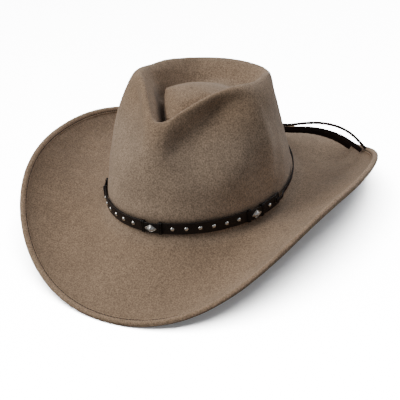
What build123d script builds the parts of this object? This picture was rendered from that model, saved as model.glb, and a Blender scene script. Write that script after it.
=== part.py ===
from build123d import *
import math
import os

# Cowboy hat: one-piece wool felt crown and brim, bound and wired brim edge,
# sweatband inside, and a studded leather hatband laced together at the back.
# Frame: +Z up, front of the hat towards -Y, the wearer's left towards +X.
# The origin is under the middle of the hat, on the surface the brim rests on.

os.makedirs("parts", exist_ok=True)

# ---------------------------------------------------------------- dimensions
SHIFT_Y = -2.0          # hat-block centre measured from the frame's origin
SHIFT_Z = 48.39

HEAD_X, HEAD_Y = 85.1, 104.6   # half axes of the felt's outside at the hatband
BAND_SADDLE, BAND_TILT = 4.10, 2.48   # rise of the band line, front and back
FELT = 2.6              # felt thickness

BIND_DEPTH = 6.8        # how far the edge binding reaches in from the edge
BIND_T = 1.0            # binding thickness
BIND_GAP = 0.4          # room between the binding and the felt inside it
FELT_INSET = 3.3        # felt stops this far inside the bound edge
WIRE_D = 1.1            # brim wire
SLEEVE_D = 1.9          # crimp sleeve over the wire's two ends
SLEEVE_LEN = 14.0
EDGE_THREAD = 0.5
STITCH_IN = 5.2         # stitch line in from the edge

SWEAT_T = 1.2           # sweatband leather
SWEAT_H = 34.0
SWEAT_GAP = 0.55
REED_D = 1.8

STRAP_GAP = 1.4         # hatband strap to felt
STRAP_T = 1.6
STRAP_W = 12.0
PERIOD = 104.7          # concho to concho along the band
FIRST_CONCHO = 8.5      # first concho from the front middle, towards the left
CONCHOS = 3
STRAP_REACH = 151.0     # the leather ends here, measured from the front middle
STUD_FIRST = 20.07      # concho to the next stud
STUD_PITCH = 12.91
STUD_D = 4.0
KEEPER_LEN, KEEPER_W, KEEPER_T = 20.6, 10.6, 1.1
STRAP_END = 6.3         # strap stops this far from the concho's middle
LOOP_AT, LOOP_W, LOOP_T = 8.5, 3.0, 0.4
LACE_T, LACE_W = 1.4, 3.8        # laces that close the band behind
CONCHO_L, CONCHO_H = 13.2, 8.6

# Hat block: rings from the middle of the crown's top out to the brim's edge.
# Each row is one ring, each column 15 degrees from the front round to the
# back; the left and right halves are mirror images. Cubic B-spline weights.
BLOCK_R = (
    (0.00, 0.00, 0.00, 0.00, 0.00, 0.00, 0.00, 0.00, 0.00, 0.00, 0.00, 0.00, 0.00),
    (12.77, 12.77, 12.77, 12.77, 12.77, 12.77, 12.77, 12.77, 12.77, 12.77, 12.77, 12.77, 12.77),
    (29.86, 24.71, 22.49, 20.22, 20.88, 21.32, 26.16, 28.32, 29.82, 32.94, 36.45, 38.12, 39.12),
    (48.20, 35.31, 29.99, 26.66, 27.88, 30.29, 34.11, 40.45, 44.17, 50.53, 57.85, 63.05, 64.08),
    (60.50, 43.49, 38.31, 34.86, 34.91, 38.96, 43.76, 49.66, 53.45, 60.86, 66.55, 72.82, 74.39),
    (68.85, 51.46, 46.41, 42.61, 43.60, 47.22, 52.47, 57.27, 62.60, 70.70, 76.62, 84.88, 85.09),
    (75.76, 59.36, 51.37, 48.45, 49.65, 56.70, 62.71, 65.13, 70.32, 76.10, 85.77, 91.91, 92.33),
    (80.86, 69.46, 58.00, 52.83, 54.97, 65.00, 69.78, 73.27, 75.97, 79.39, 90.09, 96.20, 98.03),
    (85.70, 79.85, 69.35, 64.67, 63.31, 75.61, 76.41, 76.98, 79.14, 81.25, 90.66, 95.64, 101.62),
    (91.93, 90.38, 83.95, 80.50, 79.57, 83.15, 82.24, 80.49, 81.52, 85.74, 92.75, 96.63, 102.76),
    (99.16, 97.63, 92.43, 88.45, 87.90, 83.99, 83.03, 84.88, 84.28, 89.30, 94.38, 99.44, 102.83),
    (104.94, 103.02, 98.32, 92.91, 88.37, 85.46, 84.47, 85.46, 88.37, 92.91, 98.32, 103.02, 104.94),
    (105.29, 103.37, 98.67, 93.26, 88.72, 85.81, 84.82, 85.81, 88.72, 93.26, 98.67, 103.37, 105.29),
    (105.14, 103.22, 98.52, 93.11, 88.57, 85.66, 84.67, 85.66, 88.57, 93.11, 98.52, 103.22, 105.14),
    (106.44, 104.52, 99.82, 94.41, 89.87, 86.96, 85.97, 86.96, 89.87, 94.41, 99.82, 104.52, 106.44),
    (111.00, 108.74, 104.00, 99.33, 95.24, 92.23, 91.27, 92.27, 95.06, 98.95, 103.82, 109.72, 111.25),
    (118.69, 115.89, 111.17, 107.80, 104.36, 101.16, 100.27, 101.28, 103.94, 106.78, 110.67, 118.49, 119.40),
    (129.00, 125.71, 121.29, 119.48, 116.49, 112.93, 112.18, 113.28, 115.96, 117.78, 120.38, 130.02, 130.34),
    (141.12, 137.67, 134.03, 133.59, 130.37, 126.24, 125.69, 127.02, 130.09, 131.41, 132.70, 143.19, 143.25),
    (153.38, 150.25, 147.69, 147.80, 143.56, 138.72, 138.32, 140.09, 143.87, 145.54, 146.07, 156.06, 156.31),
    (165.79, 163.48, 161.93, 161.35, 155.47, 149.82, 149.42, 151.86, 156.58, 159.42, 160.28, 168.69, 169.49),
    (176.56, 175.30, 174.17, 171.65, 164.14, 157.77, 157.15, 160.38, 165.93, 170.31, 172.81, 179.42, 180.83),
    (183.81, 183.41, 182.09, 177.45, 168.89, 162.05, 161.13, 165.00, 171.04, 176.62, 181.16, 186.57, 188.40),
    (187.45, 187.53, 185.92, 179.95, 170.90, 163.84, 162.72, 166.93, 173.20, 179.39, 185.27, 190.16, 192.17),
)
BLOCK_Z = (
    (92.82, 92.82, 92.82, 92.82, 92.82, 92.82, 92.82, 92.82, 92.82, 92.82, 92.82, 92.82, 92.82),
    (92.82, 92.82, 92.82, 92.82, 92.82, 92.82, 92.82, 92.82, 92.82, 92.82, 92.82, 92.82, 92.82),
    (90.94, 92.86, 92.30, 93.35, 92.27, 92.42, 91.84, 89.01, 86.27, 83.79, 82.62, 80.74, 80.70),
    (81.65, 82.43, 84.96, 86.48, 87.14, 87.53, 87.67, 81.44, 78.82, 73.28, 68.28, 68.85, 70.53),
    (84.66, 91.14, 94.43, 98.80, 100.40, 102.23, 102.72, 96.06, 92.81, 85.49, 73.06, 77.28, 80.32),
    (92.25, 98.67, 103.96, 107.52, 110.67, 111.88, 111.63, 106.03, 100.47, 96.47, 80.37, 86.22, 86.81),
    (85.63, 94.26, 99.20, 102.88, 106.00, 108.56, 105.38, 101.21, 97.79, 96.10, 89.04, 85.39, 82.93),
    (75.17, 77.37, 84.07, 87.41, 89.68, 96.16, 94.53, 91.48, 89.37, 86.97, 83.48, 77.94, 74.22),
    (60.49, 59.70, 63.29, 69.37, 73.22, 80.05, 77.26, 74.58, 73.09, 69.73, 67.52, 64.43, 60.37),
    (43.63, 42.72, 44.98, 49.71, 52.72, 58.16, 57.19, 55.39, 54.36, 53.28, 51.36, 50.70, 47.47),
    (27.60, 26.10, 25.65, 26.68, 28.32, 30.94, 30.58, 29.74, 29.37, 28.80, 28.37, 27.31, 28.07),
    (17.80, 17.14, 15.32, 12.77, 10.10, 7.93, 6.71, 6.63, 7.60, 9.23, 10.98, 12.30, 12.79),
    (9.80, 9.14, 7.32, 4.77, 2.10, -0.07, -1.29, -1.37, -0.40, 1.23, 2.98, 4.30, 4.79),
    (1.80, 1.14, -0.68, -3.23, -5.90, -8.07, -9.29, -9.37, -8.40, -6.77, -5.02, -3.70, -3.21),
    (-2.80, -3.46, -5.28, -7.83, -10.50, -12.67, -13.89, -13.97, -13.00, -11.37, -9.62, -8.30, -7.81),
    (-5.63, -6.77, -8.64, -10.21, -10.98, -12.46, -14.04, -14.42, -14.56, -14.29, -13.34, -9.80, -10.39),
    (-10.33, -12.24, -14.09, -13.79, -11.18, -11.43, -13.62, -14.56, -16.66, -18.86, -19.41, -12.21, -14.65),
    (-16.51, -19.13, -20.60, -17.47, -10.50, -9.21, -12.08, -13.81, -18.38, -23.94, -26.68, -15.66, -20.20),
    (-23.52, -26.38, -26.59, -19.54, -7.90, -4.98, -8.43, -11.10, -18.23, -27.75, -33.46, -20.17, -26.43),
    (-30.27, -32.55, -30.32, -18.63, -2.98, 1.31, -2.42, -6.07, -15.29, -28.63, -37.88, -25.36, -32.33),
    (-36.73, -37.42, -31.25, -14.30, 4.42, 9.80, 6.07, 1.48, -9.28, -26.04, -39.37, -31.38, -37.81),
    (-42.01, -40.39, -29.46, -7.80, 12.71, 18.78, 15.22, 9.91, -1.68, -20.88, -37.96, -37.32, -42.12),
    (-45.40, -41.67, -26.85, -2.11, 19.13, 25.54, 22.16, 16.44, 4.53, -15.97, -35.49, -41.71, -44.78),
    (-47.04, -42.08, -25.11, 1.10, 22.58, 29.12, 25.84, 19.94, 7.92, -13.12, -33.77, -44.04, -46.03),
)

RINGS = len(BLOCK_R)
T_END = RINGS - 3


def weights(u):
    return ((1 - u) ** 3 / 6, (3 * u ** 3 - 6 * u * u + 4) / 6,
            (-3 * u ** 3 + 3 * u * u + 3 * u + 1) / 6, u ** 3 / 6)


def ring_values(rows, theta):
    """Value of every ring at an angle, in degrees from the front."""
    u = (theta / 15.0) % 24
    i = int(u)
    w = weights(u - i)
    cols = []
    for k in range(4):
        c = (i - 1 + k) % 24
        cols.append(c if c <= 12 else 24 - c)
    return [sum(w[k] * row[cols[k]] for k in range(4)) for row in rows]


KNOTS = [0.0] * 3 + [float(v) for v in range(T_END + 1)] + [float(T_END)] * 3


def ring_basis(t):
    t = min(max(t, 0.0), T_END - 1e-9)
    k = int(t) + 3
    n = [1.0]
    for p in range(1, 4):
        m = [0.0] * (p + 1)
        for j in range(p):
            a, b = KNOTS[k - p + 1 + j], KNOTS[k + 1 + j]
            w = n[j] / (b - a)
            m[j] += w * (b - t)
            m[j + 1] += w * (t - a)
        n = m
    return k - 3, n


def ease(a, b, x):
    u = min(max((x - a) / (b - a), 0.0), 1.0)
    return u * u * (3 - 2 * u)


def hump(x, c, w):
    return math.exp(-((x - c) / w) ** 2)


def skew(x, c, w1, w2):
    return math.exp(-((x - c) / (w1 if x < c else w2)) ** 2)


def crown_detail(theta, t):
    """Hand-shaped detail of the crown: (along the normal, outward, upward)."""
    a = abs(theta)
    side = 1.0 if theta >= 0 else 0.25
    f = ease(4, 15, a) * (1 - ease(60, 92, a))
    tc = 5.85 - 0.6 * ease(15, 70, a)
    dent = skew(t, tc, 0.55 - 0.1 * ease(20, 75, a), 1.05 - 0.25 * ease(20, 75, a))
    n = -7.2 * side * f * dent + 0.9 * side * f * hump(t, tc + 2.4, 0.8)
    n += 1.0 * side * f * hump(t, 4.25, 0.3)
    n += 3.2 * hump(theta, 54, 15) * hump(t, 8.4, 0.8)
    n += 3.0 * hump(theta, 85, 8) * hump(t, 7.6, 2.0) - 1.4 * hump(theta, 71, 8) * hump(t, 8.4, 1.8)
    low = 1.85 - 0.5 * ease(40, 95, a)
    g = ease(low, low + 0.45, t) * (1 - ease(2.15, 3.4, t))
    back = ease(95, 150, -theta) + ease(70, 120, theta)
    up = -15.5 * (1 - 0.85 * back) * g + 4.2 * hump(t, 0, 1.2)
    out = 2.0 * hump(t, 3.4, 0.4) * (1 - ease(70, 120, a))
    return n, out, up

STEP = 0.05
PROFILES = {}


def profile(theta):
    """Outside line of the felt in one upright half plane: (t, r, z, nr, nz, d)."""
    key = round(theta, 4)
    if key in PROFILES:
        return PROFILES[key]
    rr, zz = ring_values(BLOCK_R, theta), ring_values(BLOCK_Z, theta)
    raw = []
    for i in range(int(round(T_END / STEP)) + 1):
        t = i * STEP
        k, n = ring_basis(t)
        raw.append((t, sum(n[j] * rr[k + j] for j in range(4)),
                    sum(n[j] * zz[k + j] for j in range(4))))
    pts = []
    for i, (t, r, z) in enumerate(raw):
        if t < 10.0:
            a, b = raw[max(i - 1, 0)], raw[i + 1]
            dr, dz = b[1] - a[1], b[2] - a[2]
            ln = math.hypot(dr, dz) or 1.0
            n, out, up = crown_detail((theta + 180) % 360 - 180, t)
            r, z = r - n * dz / ln + out, z + n * dr / ln + up
        pts.append((t, r, z))
    out, dist = [], 0.0
    for i in reversed(range(len(pts))):
        a, b = pts[max(i - 1, 0)], pts[min(i + 1, len(pts) - 1)]
        dr, dz = b[1] - a[1], b[2] - a[2]
        ln = math.hypot(dr, dz) or 1.0
        if i < len(pts) - 1:
            dist += math.hypot(pts[i + 1][1] - pts[i][1], pts[i + 1][2] - pts[i][2])
        out.append((pts[i][0], pts[i][1], pts[i][2], -dz / ln, dr / ln, dist))
    out.reverse()
    PROFILES[key] = out
    return out


def lerp(a, b, f):
    return [x + (y - x) * f for x, y in zip(a, b)]


def at_t(theta, t, off=0.0):
    """(r, z) on the felt's outside at ring parameter t, moved out by off."""
    rows = profile(theta)
    i = min(int(t / STEP), len(rows) - 2)
    v = lerp(rows[i], rows[i + 1], t / STEP - i)
    return v[1] + off * v[3], v[2] + off * v[4]


def at_edge(theta, d, off=0.0):
    """(r, z) at distance d in from the brim's edge, moved up by off."""
    rows = profile(theta)
    i = len(rows) - 2
    while rows[i][5] < d:
        i -= 1
    f = (rows[i][5] - d) / (rows[i][5] - rows[i + 1][5])
    v = lerp(rows[i], rows[i + 1], f)
    return v[1] + off * v[3], v[2] + off * v[4]


def t_of_edge(theta, d):
    rows = profile(theta)
    i = len(rows) - 2
    while rows[i][5] < d:
        i -= 1
    return rows[i][0] + STEP * (rows[i][5] - d) / (rows[i][5] - rows[i + 1][5])


def upright(theta):
    """Upright half plane at an angle: local x outward, local y up."""
    s, c = math.sin(math.radians(theta)), math.cos(math.radians(theta))
    return Plane(origin=(0, SHIFT_Y, SHIFT_Z), x_dir=(s, -c, 0), z_dir=(-c, -s, 0))


def point(theta, rz):
    s, c = math.sin(math.radians(theta)), math.cos(math.radians(theta))
    return Vector(rz[0] * s, -rz[0] * c + SHIFT_Y, rz[1] + SHIFT_Z)


def spread(a, b, n):
    return [a + (b - a) * i / (n - 1) for i in range(n)]


def write(part, name):
    part.part.label = name
    export_step(part.part, f"parts/{name}.step")


# ---------------------------------------------------------------- felt body
RING_ANGLES = [7.5 * i for i in range(48)]
FELT_T = [0.9, 1.5, 2.0, 2.4, 2.8, 3.2, 3.7, 4.3, 4.9, 5.5, 6.1, 6.7, 7.4, 8.2, 9.0, 9.8,
          10.4]                                         # ring parameters, top to brim
FELT_T += [10.9, 11.5, 12.0, 12.4, 12.8, 13.2, 13.6, 14.0, 14.5, 15.1, 15.8, 16.6,
           17.4, 18.2, 19.0, 19.8]
EDGE_RINGS = [9.5, 7.6, 5.4, FELT_INSET]               # last rings, in from the edge


def ring_wire(heights):
    pts = [point(a, rz) for a, rz in zip(RING_ANGLES, heights)]
    with BuildLine() as line:
        Spline(*pts, periodic=True)
    return line.wire()


def ring_at(t, off, flat=False):
    rz = [at_t(a, t, off) for a in RING_ANGLES]
    if flat:
        z = sum(v[1] for v in rz) / len(rz)
        rz = [(v[0], z) for v in rz]
    return ring_wire(rz)


def ring_edge(d, off):
    return ring_wire([at_edge(a, d, off) for a in RING_ANGLES])


t_stop = min(t_of_edge(a, EDGE_RINGS[0]) for a in RING_ANGLES) - 0.1
outer_t = [t for t in FELT_T if t < t_stop]
felt_rings = [ring_at(t, 0.0, t == outer_t[0]) for t in outer_t]
felt_rings += [ring_edge(d, 0.0) for d in EDGE_RINGS]
felt_rings += [ring_edge(d, -FELT) for d in reversed(EDGE_RINGS)]
felt_rings += [ring_at(t, -FELT, t == outer_t[0]) for t in reversed(outer_t)]
felt_solid = Solid.make_loft(felt_rings, ruled=True)
with BuildPart() as felt_body:
    add(felt_solid)
write(felt_body, "felt_body")

# ---------------------------------------------------------------- brim edge
ROUND = spread(-179.6, 179.6, 61)


def strip(name, section, angles, ruled=False):
    """A strip lofted round the hat through one section per angle."""
    with BuildPart() as made:
        for a in angles:
            with BuildSketch(upright(a)):
                Polygon(*section(a), align=None)
        loft(ruled=ruled)
    if name:
        write(made, name)
    return made


def binding_section(a):
    top, low = BIND_GAP, -FELT - BIND_GAP
    return [at_edge(a, BIND_DEPTH, top), at_edge(a, BIND_DEPTH, top + BIND_T),
            at_edge(a, 3.0, top + BIND_T + 0.25), at_edge(a, 0.6, top + 0.45),
            at_edge(a, 0.0, -0.6), at_edge(a, 0.0, -2.0),
            at_edge(a, 0.6, low - 0.45), at_edge(a, 3.0, low - BIND_T - 0.25),
            at_edge(a, BIND_DEPTH, low - BIND_T), at_edge(a, BIND_DEPTH, low),
            at_edge(a, 3.1, low), at_edge(a, 1.25, low + 0.5),
            at_edge(a, 1.25, top - 0.5), at_edge(a, 3.1, top)]


brim_edge_binding = strip("brim_edge_binding", binding_section, ROUND)

WIRE_AT = (2.3, -FELT / 2)
with BuildPart() as brim_wire:
    for a in spread(-179.75, 179.75, 61):
        with BuildSketch(upright(a)):
            with Locations(at_edge(a, *WIRE_AT)):
                RegularPolygon(WIRE_D / 2, 8)
    loft()
write(brim_wire, "brim_wire")

SLEEVE_HALF = math.degrees(SLEEVE_LEN / 2 / at_edge(180, *WIRE_AT)[0])
with BuildPart() as brim_wire_sleeve:
    for a in spread(180 - SLEEVE_HALF, 180 + SLEEVE_HALF, 5):
        with BuildSketch(upright(a)):
            with Locations(at_edge(a, *WIRE_AT)):
                Circle(SLEEVE_D / 2)
    loft()
    for a in spread(180 - SLEEVE_HALF - 0.4, 180 + SLEEVE_HALF + 0.4, 5):
        with BuildSketch(upright(a)):
            with Locations(at_edge(a, *WIRE_AT)):
                Circle(WIRE_D / 2 + 0.04)
    loft(mode=Mode.SUBTRACT)
write(brim_wire_sleeve, "brim_wire_sleeve")


def thread_section(d, off, size):
    def section(a):
        return [at_edge(a, d - size / 2, off), at_edge(a, d - size / 2, off + size),
                at_edge(a, d + size / 2, off + size), at_edge(a, d + size / 2, off)]
    return section


with BuildPart() as edge_stitching:
    for off in (BIND_GAP + BIND_T + 0.16, -FELT - BIND_GAP - BIND_T - 0.16 - EDGE_THREAD):
        for a in ROUND:
            with BuildSketch(upright(a)):
                Polygon(*thread_section(STITCH_IN, off, EDGE_THREAD)(a), align=None)
        loft()
write(edge_stitching, "edge_stitching")


# ---------------------------------------------------------------- sweatband
def oval(theta, grow=0.0):
    s, c = math.sin(math.radians(theta)), math.cos(math.radians(theta))
    return 1 / math.sqrt((s / HEAD_X) ** 2 + (c / HEAD_Y) ** 2) + grow


def band_z(theta):
    return (BAND_SADDLE * math.cos(2 * math.radians(theta))
            + BAND_TILT * math.cos(math.radians(theta)))


def inside_r(theta, z, inward):
    """Radius, at a height, of the crown's side moved inward by a distance."""
    t, low = 14.0, at_t(theta, 14.0, -inward)
    while True:
        t -= STEP
        high = at_t(theta, t, -inward)
        if high[1] >= z > low[1]:
            return low[0] + (high[0] - low[0]) * (z - low[1]) / (high[1] - low[1])
        low = high


SWEAT_LOW = -8.0
SWEAT_LEVELS = [0.0, 1.6, 3.4, 5.6, 9.0, 16.0, 25.0, SWEAT_H]


def sweat_section(a):
    pts = []
    for grow in (0.0, SWEAT_T):
        row = []
        for h in SWEAT_LEVELS:
            z = band_z(a) + SWEAT_LOW + h
            row.append((inside_r(a, z, FELT + SWEAT_GAP + grow), z))
        pts.append(row)
    return pts[0] + pts[1][::-1]


sweatband = strip("sweatband", sweat_section, spread(-179.5, 179.5, 49))

with BuildPart() as sweatband_reed:
    for a in spread(-177.0, 177.0, 49):
        z = band_z(a) + SWEAT_LOW + REED_D / 2 + 0.2
        r = inside_r(a, z, FELT + SWEAT_GAP + SWEAT_T + REED_D / 2 + 0.35)
        with BuildSketch(upright(a)):
            with Locations((r, z)):
                RegularPolygon(REED_D / 2, 8)
    loft()
write(sweatband_reed, "sweatband_reed")


def sweat_face(a, h, inward):
    z = band_z(a) + h
    return inside_r(a, z, FELT + SWEAT_GAP + SWEAT_T + inward), z


def sweat_stitch_section(a):
    r, z = sweat_face(a, SWEAT_LOW + 3.6, 0.2)
    r2, z2 = sweat_face(a, SWEAT_LOW + 4.1, 0.2)
    return [(r - 0.4, z), (r, z), (r2, z2), (r2 - 0.4, z2)]


sweatband_stitching = strip("sweatband_stitching", sweat_stitch_section,
                            spread(-176.5, 176.5, 49))

# small flat bow over the sweatband's back seam: two loops and a wrapped middle
bow_r, bow_z = sweat_face(180, 2.0, 0.3)
with BuildPart() as sweatband_bow:
    bow_plane = Plane(origin=(0, bow_r + SHIFT_Y, bow_z + SHIFT_Z),
                      x_dir=(1, 0, 0), z_dir=(0, -1, 0))
    with BuildSketch(bow_plane.offset(1.4)):
        with BuildLine():
            Polyline((-2.4, -1.6), (-11.0, -3.6), (-12.0, 0.0), (-11.0, 3.6),
                     (-2.4, 1.6), (2.4, 1.6), (11.0, 3.6), (12.0, 0.0),
                     (11.0, -3.6), (2.4, -1.6), close=True)
        make_face()
    extrude(amount=1.3)
    with BuildSketch(bow_plane.offset(0.9)):
        RectangleRounded(5.0, 5.4, 1.0)
    extrude(amount=2.4)
write(sweatband_bow, "sweatband_bow")

# blank woven tab standing behind the bow, held by the sweatband's seam
tab_low, tab_high = sweat_face(180, 10.0, 0.8), sweat_face(180, 22.0, 0.8)
tab_up = Vector(0, tab_high[0] - tab_low[0], tab_high[1] - tab_low[1]).normalized()
tab_plane = Plane(origin=(0, (tab_low[0] + tab_high[0]) / 2 + SHIFT_Y,
                          (tab_low[1] + tab_high[1]) / 2 + SHIFT_Z),
                  x_dir=(1, 0, 0), z_dir=Vector(1, 0, 0).cross(tab_up))
with BuildPart() as size_tab:
    with BuildSketch(tab_plane):
        Rectangle(18.0, 10.0)
    extrude(amount=0.4, both=False)
write(size_tab, "size_tab")

# ---------------------------------------------------------------- hatband
ARC = [(0.0, 0.0)]
_step = 0.25
for _i in range(int(180 / _step)):
    _a, _b = _i * _step, (_i + 1) * _step
    _g = STRAP_GAP + STRAP_T
    _pa, _pb = point(_a, (oval(_a, _g), band_z(_a))), point(_b, (oval(_b, _g), band_z(_b)))
    ARC.append((_b, ARC[-1][1] + (_pb - _pa).length))
HALF = ARC[-1][1]


def angle_at(length):
    """Angle of a point at a length along the band from the front middle."""
    l = abs(length)
    lo, hi = 0, len(ARC) - 1
    while hi - lo > 1:
        mid = (lo + hi) // 2
        if ARC[mid][1] <= l:
            lo = mid
        else:
            hi = mid
    f = (l - ARC[lo][1]) / (ARC[hi][1] - ARC[lo][1])
    a = ARC[lo][0] + _step * f
    return math.copysign(a, length)


def band_frame(length, grow):
    """Plane standing on the band: x along it, y up, z outward."""
    a = angle_at(length)
    p = point(a, (oval(a, grow), band_z(a)))
    b = point(a + 0.1, (oval(a + 0.1, grow), band_z(a + 0.1)))
    along = b - p
    level = Vector(along.X, along.Y, 0).normalized()
    out = Vector(level.Y, -level.X, 0)
    along = along.normalized()
    return Plane(origin=p, x_dir=along, z_dir=out)


def seat(length, out):
    """Plane facing outward, at a distance out from the strap's outer face."""
    return band_frame(length, STRAP_GAP + STRAP_T).offset(out)


def band_strip(name, start, stop, gap, thick, width, count, holes=(), pegs=()):
    """Bent strip of leather along the band, with holes and pegs through it."""
    with BuildPart() as made:
        for l in spread(start, stop, count):
            a = angle_at(l)
            with BuildSketch(upright(a)):
                with Locations((oval(a, gap + thick / 2), band_z(a))):
                    Rectangle(thick, width)
        loft()
        for l, radius in holes:
            with BuildSketch(seat(l, gap - 0.6 - STRAP_GAP - STRAP_T)):
                Circle(radius)
            extrude(amount=thick + 1.4, mode=Mode.SUBTRACT)
        for l, radius, deep in pegs:
            with BuildSketch(seat(l, gap + 0.2 - STRAP_GAP - STRAP_T)):
                Circle(radius)
            extrude(amount=-deep)
    write(made, name)


concho_at = [FIRST_CONCHO + PERIOD * (i - CONCHOS // 2) for i in range(CONCHOS)]
BACK_END = STRAP_REACH
ends = [(-BACK_END, concho_at[0] - STRAP_END)]
for i in range(CONCHOS - 1):
    ends.append((concho_at[i] + STRAP_END, concho_at[i + 1] - STRAP_END))
ends.append((concho_at[-1] + STRAP_END, BACK_END))
EYELETS = [-(BACK_END - 6.0), BACK_END - 6.0]

stud_rows = []
for i, (lo, hi) in enumerate(ends):
    row = []
    if i == 0:
        l = concho_at[0] - STUD_FIRST
        while l > EYELETS[0] + 9:
            row.append(l)
            l -= STUD_PITCH
    else:
        l = concho_at[i - 1] + STUD_FIRST
        limit = hi - 3.0 if i < CONCHOS else EYELETS[1] - 9
        while l < limit and len(row) < 6:
            row.append(l)
            l += STUD_PITCH
    stud_rows.append(row)

STRAP_OUT = STRAP_GAP + STRAP_T
for i, (lo, hi) in enumerate(ends):
    holes = [(l, 0.85) for l in stud_rows[i]] + [(e, 2.1) for e in EYELETS if lo < e < hi]
    band_strip(f"hatband_strap_{i + 1}", lo, hi, STRAP_GAP, STRAP_T, STRAP_W, 11, holes)

KEEP_IN = STRAP_OUT + 0.12
KEEP_OUT = KEEP_IN + KEEPER_T
for i, l0 in enumerate(concho_at):
    band_strip(f"concho_keeper_{i + 1}", l0 - KEEPER_LEN / 2, l0 + KEEPER_LEN / 2,
               KEEP_IN, KEEPER_T, KEEPER_W, 5, [(l0, 2.2)])

# loops lash each end of a keeper to the strap under it
with BuildPart() as keeper_loops:
    for l0 in concho_at:
        for side in (-1, 1):
            place = seat(l0 + side * LOOP_AT, -STRAP_OUT)
            across = Plane(origin=place.origin, x_dir=place.z_dir, z_dir=-place.x_dir)
            low, high = STRAP_GAP - 0.02 - LOOP_T, KEEP_OUT + 0.12 + LOOP_T
            with BuildSketch(across.offset(-LOOP_W / 2)):
                with Locations(((low + high) / 2, 0)):
                    Rectangle(high - low, STRAP_W + 0.2 + 2 * LOOP_T)
                    Rectangle(high - low - 2 * LOOP_T, STRAP_W + 0.2, mode=Mode.SUBTRACT)
            extrude(amount=LOOP_W)
write(keeper_loops, "keeper_loops")

# four-sided faceted conchos, each with a hollow post behind
CONCHO_IN = KEEP_OUT + 0.1
for i, l0 in enumerate(concho_at):
    with BuildPart() as concho:
        base = seat(l0, CONCHO_IN - STRAP_OUT)
        half_l, half_h = CONCHO_L / 2, CONCHO_H / 2
        with BuildSketch(base):
            Polygon((-half_l, 0), (0, half_h), (half_l, 0), (0, -half_h), align=None)
        extrude(amount=0.8)
        with BuildSketch(base.offset(0.8)):
            Polygon((-half_l, 0), (0, half_h), (half_l, 0), (0, -half_h), align=None)
        with BuildSketch(base.offset(2.5)):
            Polygon((-half_l * 0.42, 0), (0, half_h * 0.42), (half_l * 0.42, 0),
                    (0, -half_h * 0.42), align=None)
        loft()
        with BuildSketch(base.offset(-KEEPER_T - 0.1)):
            Circle(1.95)
        extrude(amount=KEEPER_T + 0.4)
        with BuildSketch(base.offset(-KEEPER_T - 0.2)):
            Circle(1.3)
        extrude(amount=2.4, mode=Mode.SUBTRACT)
    write(concho, f"concho_{i + 1}")

with BuildPart() as concho_screws:
    for l0 in concho_at:
        place = seat(l0, CONCHO_IN - KEEPER_T - 0.15 - STRAP_OUT)
        with BuildSketch(place):
            Circle(3.2)
        extrude(amount=-0.9)
        with BuildSketch(place.offset(-0.1)):
            Circle(1.2)
        extrude(amount=2.0)
        with BuildSketch(place.offset(-0.9)):
            Rectangle(5.0, 0.8)
        extrude(amount=0.4, mode=Mode.SUBTRACT)
write(concho_screws, "concho_screws")

# domed studs: cap with a shank through the strap, clinched over a washer
with BuildPart() as stud_caps:
    for row in stud_rows:
        for l in row:
            foot = seat(l, 0.12)
            with BuildSketch(foot):
                Circle(STUD_D / 2)
            extrude(amount=0.35)
            for low, high, r0, r1 in ((0.35, 0.9, 0.5, 0.39), (0.9, 1.3, 0.39, 0.2)):
                with BuildSketch(foot.offset(low)):
                    Circle(STUD_D * r0)
                with BuildSketch(foot.offset(high)):
                    Circle(STUD_D * r1)
                loft()
            with BuildSketch(foot):
                Circle(0.7)
            extrude(amount=-STRAP_T - 0.35)
write(stud_caps, "stud_caps")

with BuildPart() as stud_washers:
    for row in stud_rows:
        for l in row:
            with BuildSketch(seat(l, -STRAP_T - 0.5)):
                Circle(1.5)
                Circle(0.76, mode=Mode.SUBTRACT)
            extrude(amount=0.33)
write(stud_washers, "stud_washers")

# ---------------------------------------------------------------- back tie
with BuildPart() as tie_eyelets:
    for e in EYELETS:
        face = seat(e, 0.12)
        with BuildSketch(face):
            Circle(3.1)
            Circle(1.6, mode=Mode.SUBTRACT)
        extrude(amount=0.5)
        with BuildSketch(face):
            Circle(1.95)
            Circle(1.6, mode=Mode.SUBTRACT)
        extrude(amount=-STRAP_T - 0.3)
        with BuildSketch(face.offset(-STRAP_T - 0.6)):
            Circle(2.8)
            Circle(1.6, mode=Mode.SUBTRACT)
        extrude(amount=0.35)
write(tie_eyelets, "tie_eyelets")

KNOT_HALF = 6.0


def lace_lift(length):
    """Room under a lace: over the strap's end, down on the felt, up to the knot."""
    over = 1 - ease(BACK_END + 1.5, BACK_END + 12, length)
    back = ease(HALF - 18, HALF - 9, length)
    return STRAP_GAP + 0.1 + (STRAP_T + 0.85) * over + (STRAP_T + 0.5) * back


for side, name in ((1, "tie_thong_left"), (-1, "tie_thong_right")):
    with BuildPart() as lace:
        for l in spread(BACK_END - 9.0, HALF - 6.6, 41):
            a = angle_at(side * l)
            with BuildSketch(upright(a)):
                with Locations((oval(a, lace_lift(l) + LACE_T / 2), band_z(a))):
                    Rectangle(LACE_T, LACE_W)
        loft(ruled=True)
        with BuildSketch(seat(side * EYELETS[1], 1.3)):
            Circle(1.35)
        extrude(amount=-STRAP_T - 0.85)
    write(lace, name)

knot_mid = Vector(0, HEAD_Y + SHIFT_Y + 7.8, band_z(180) + SHIFT_Z)
with BuildPart() as tie_knot:
    with BuildSketch(Plane(origin=knot_mid, x_dir=(0, 1, 0), z_dir=(1, 0, 0))):
        RectangleRounded(9.2, 11.6, 3.0)
    extrude(amount=KNOT_HALF, both=True)
    chamfer(tie_knot.faces().sort_by(Axis.X)[0].edges(), 1.0)
write(tie_knot, "tie_knot")

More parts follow.
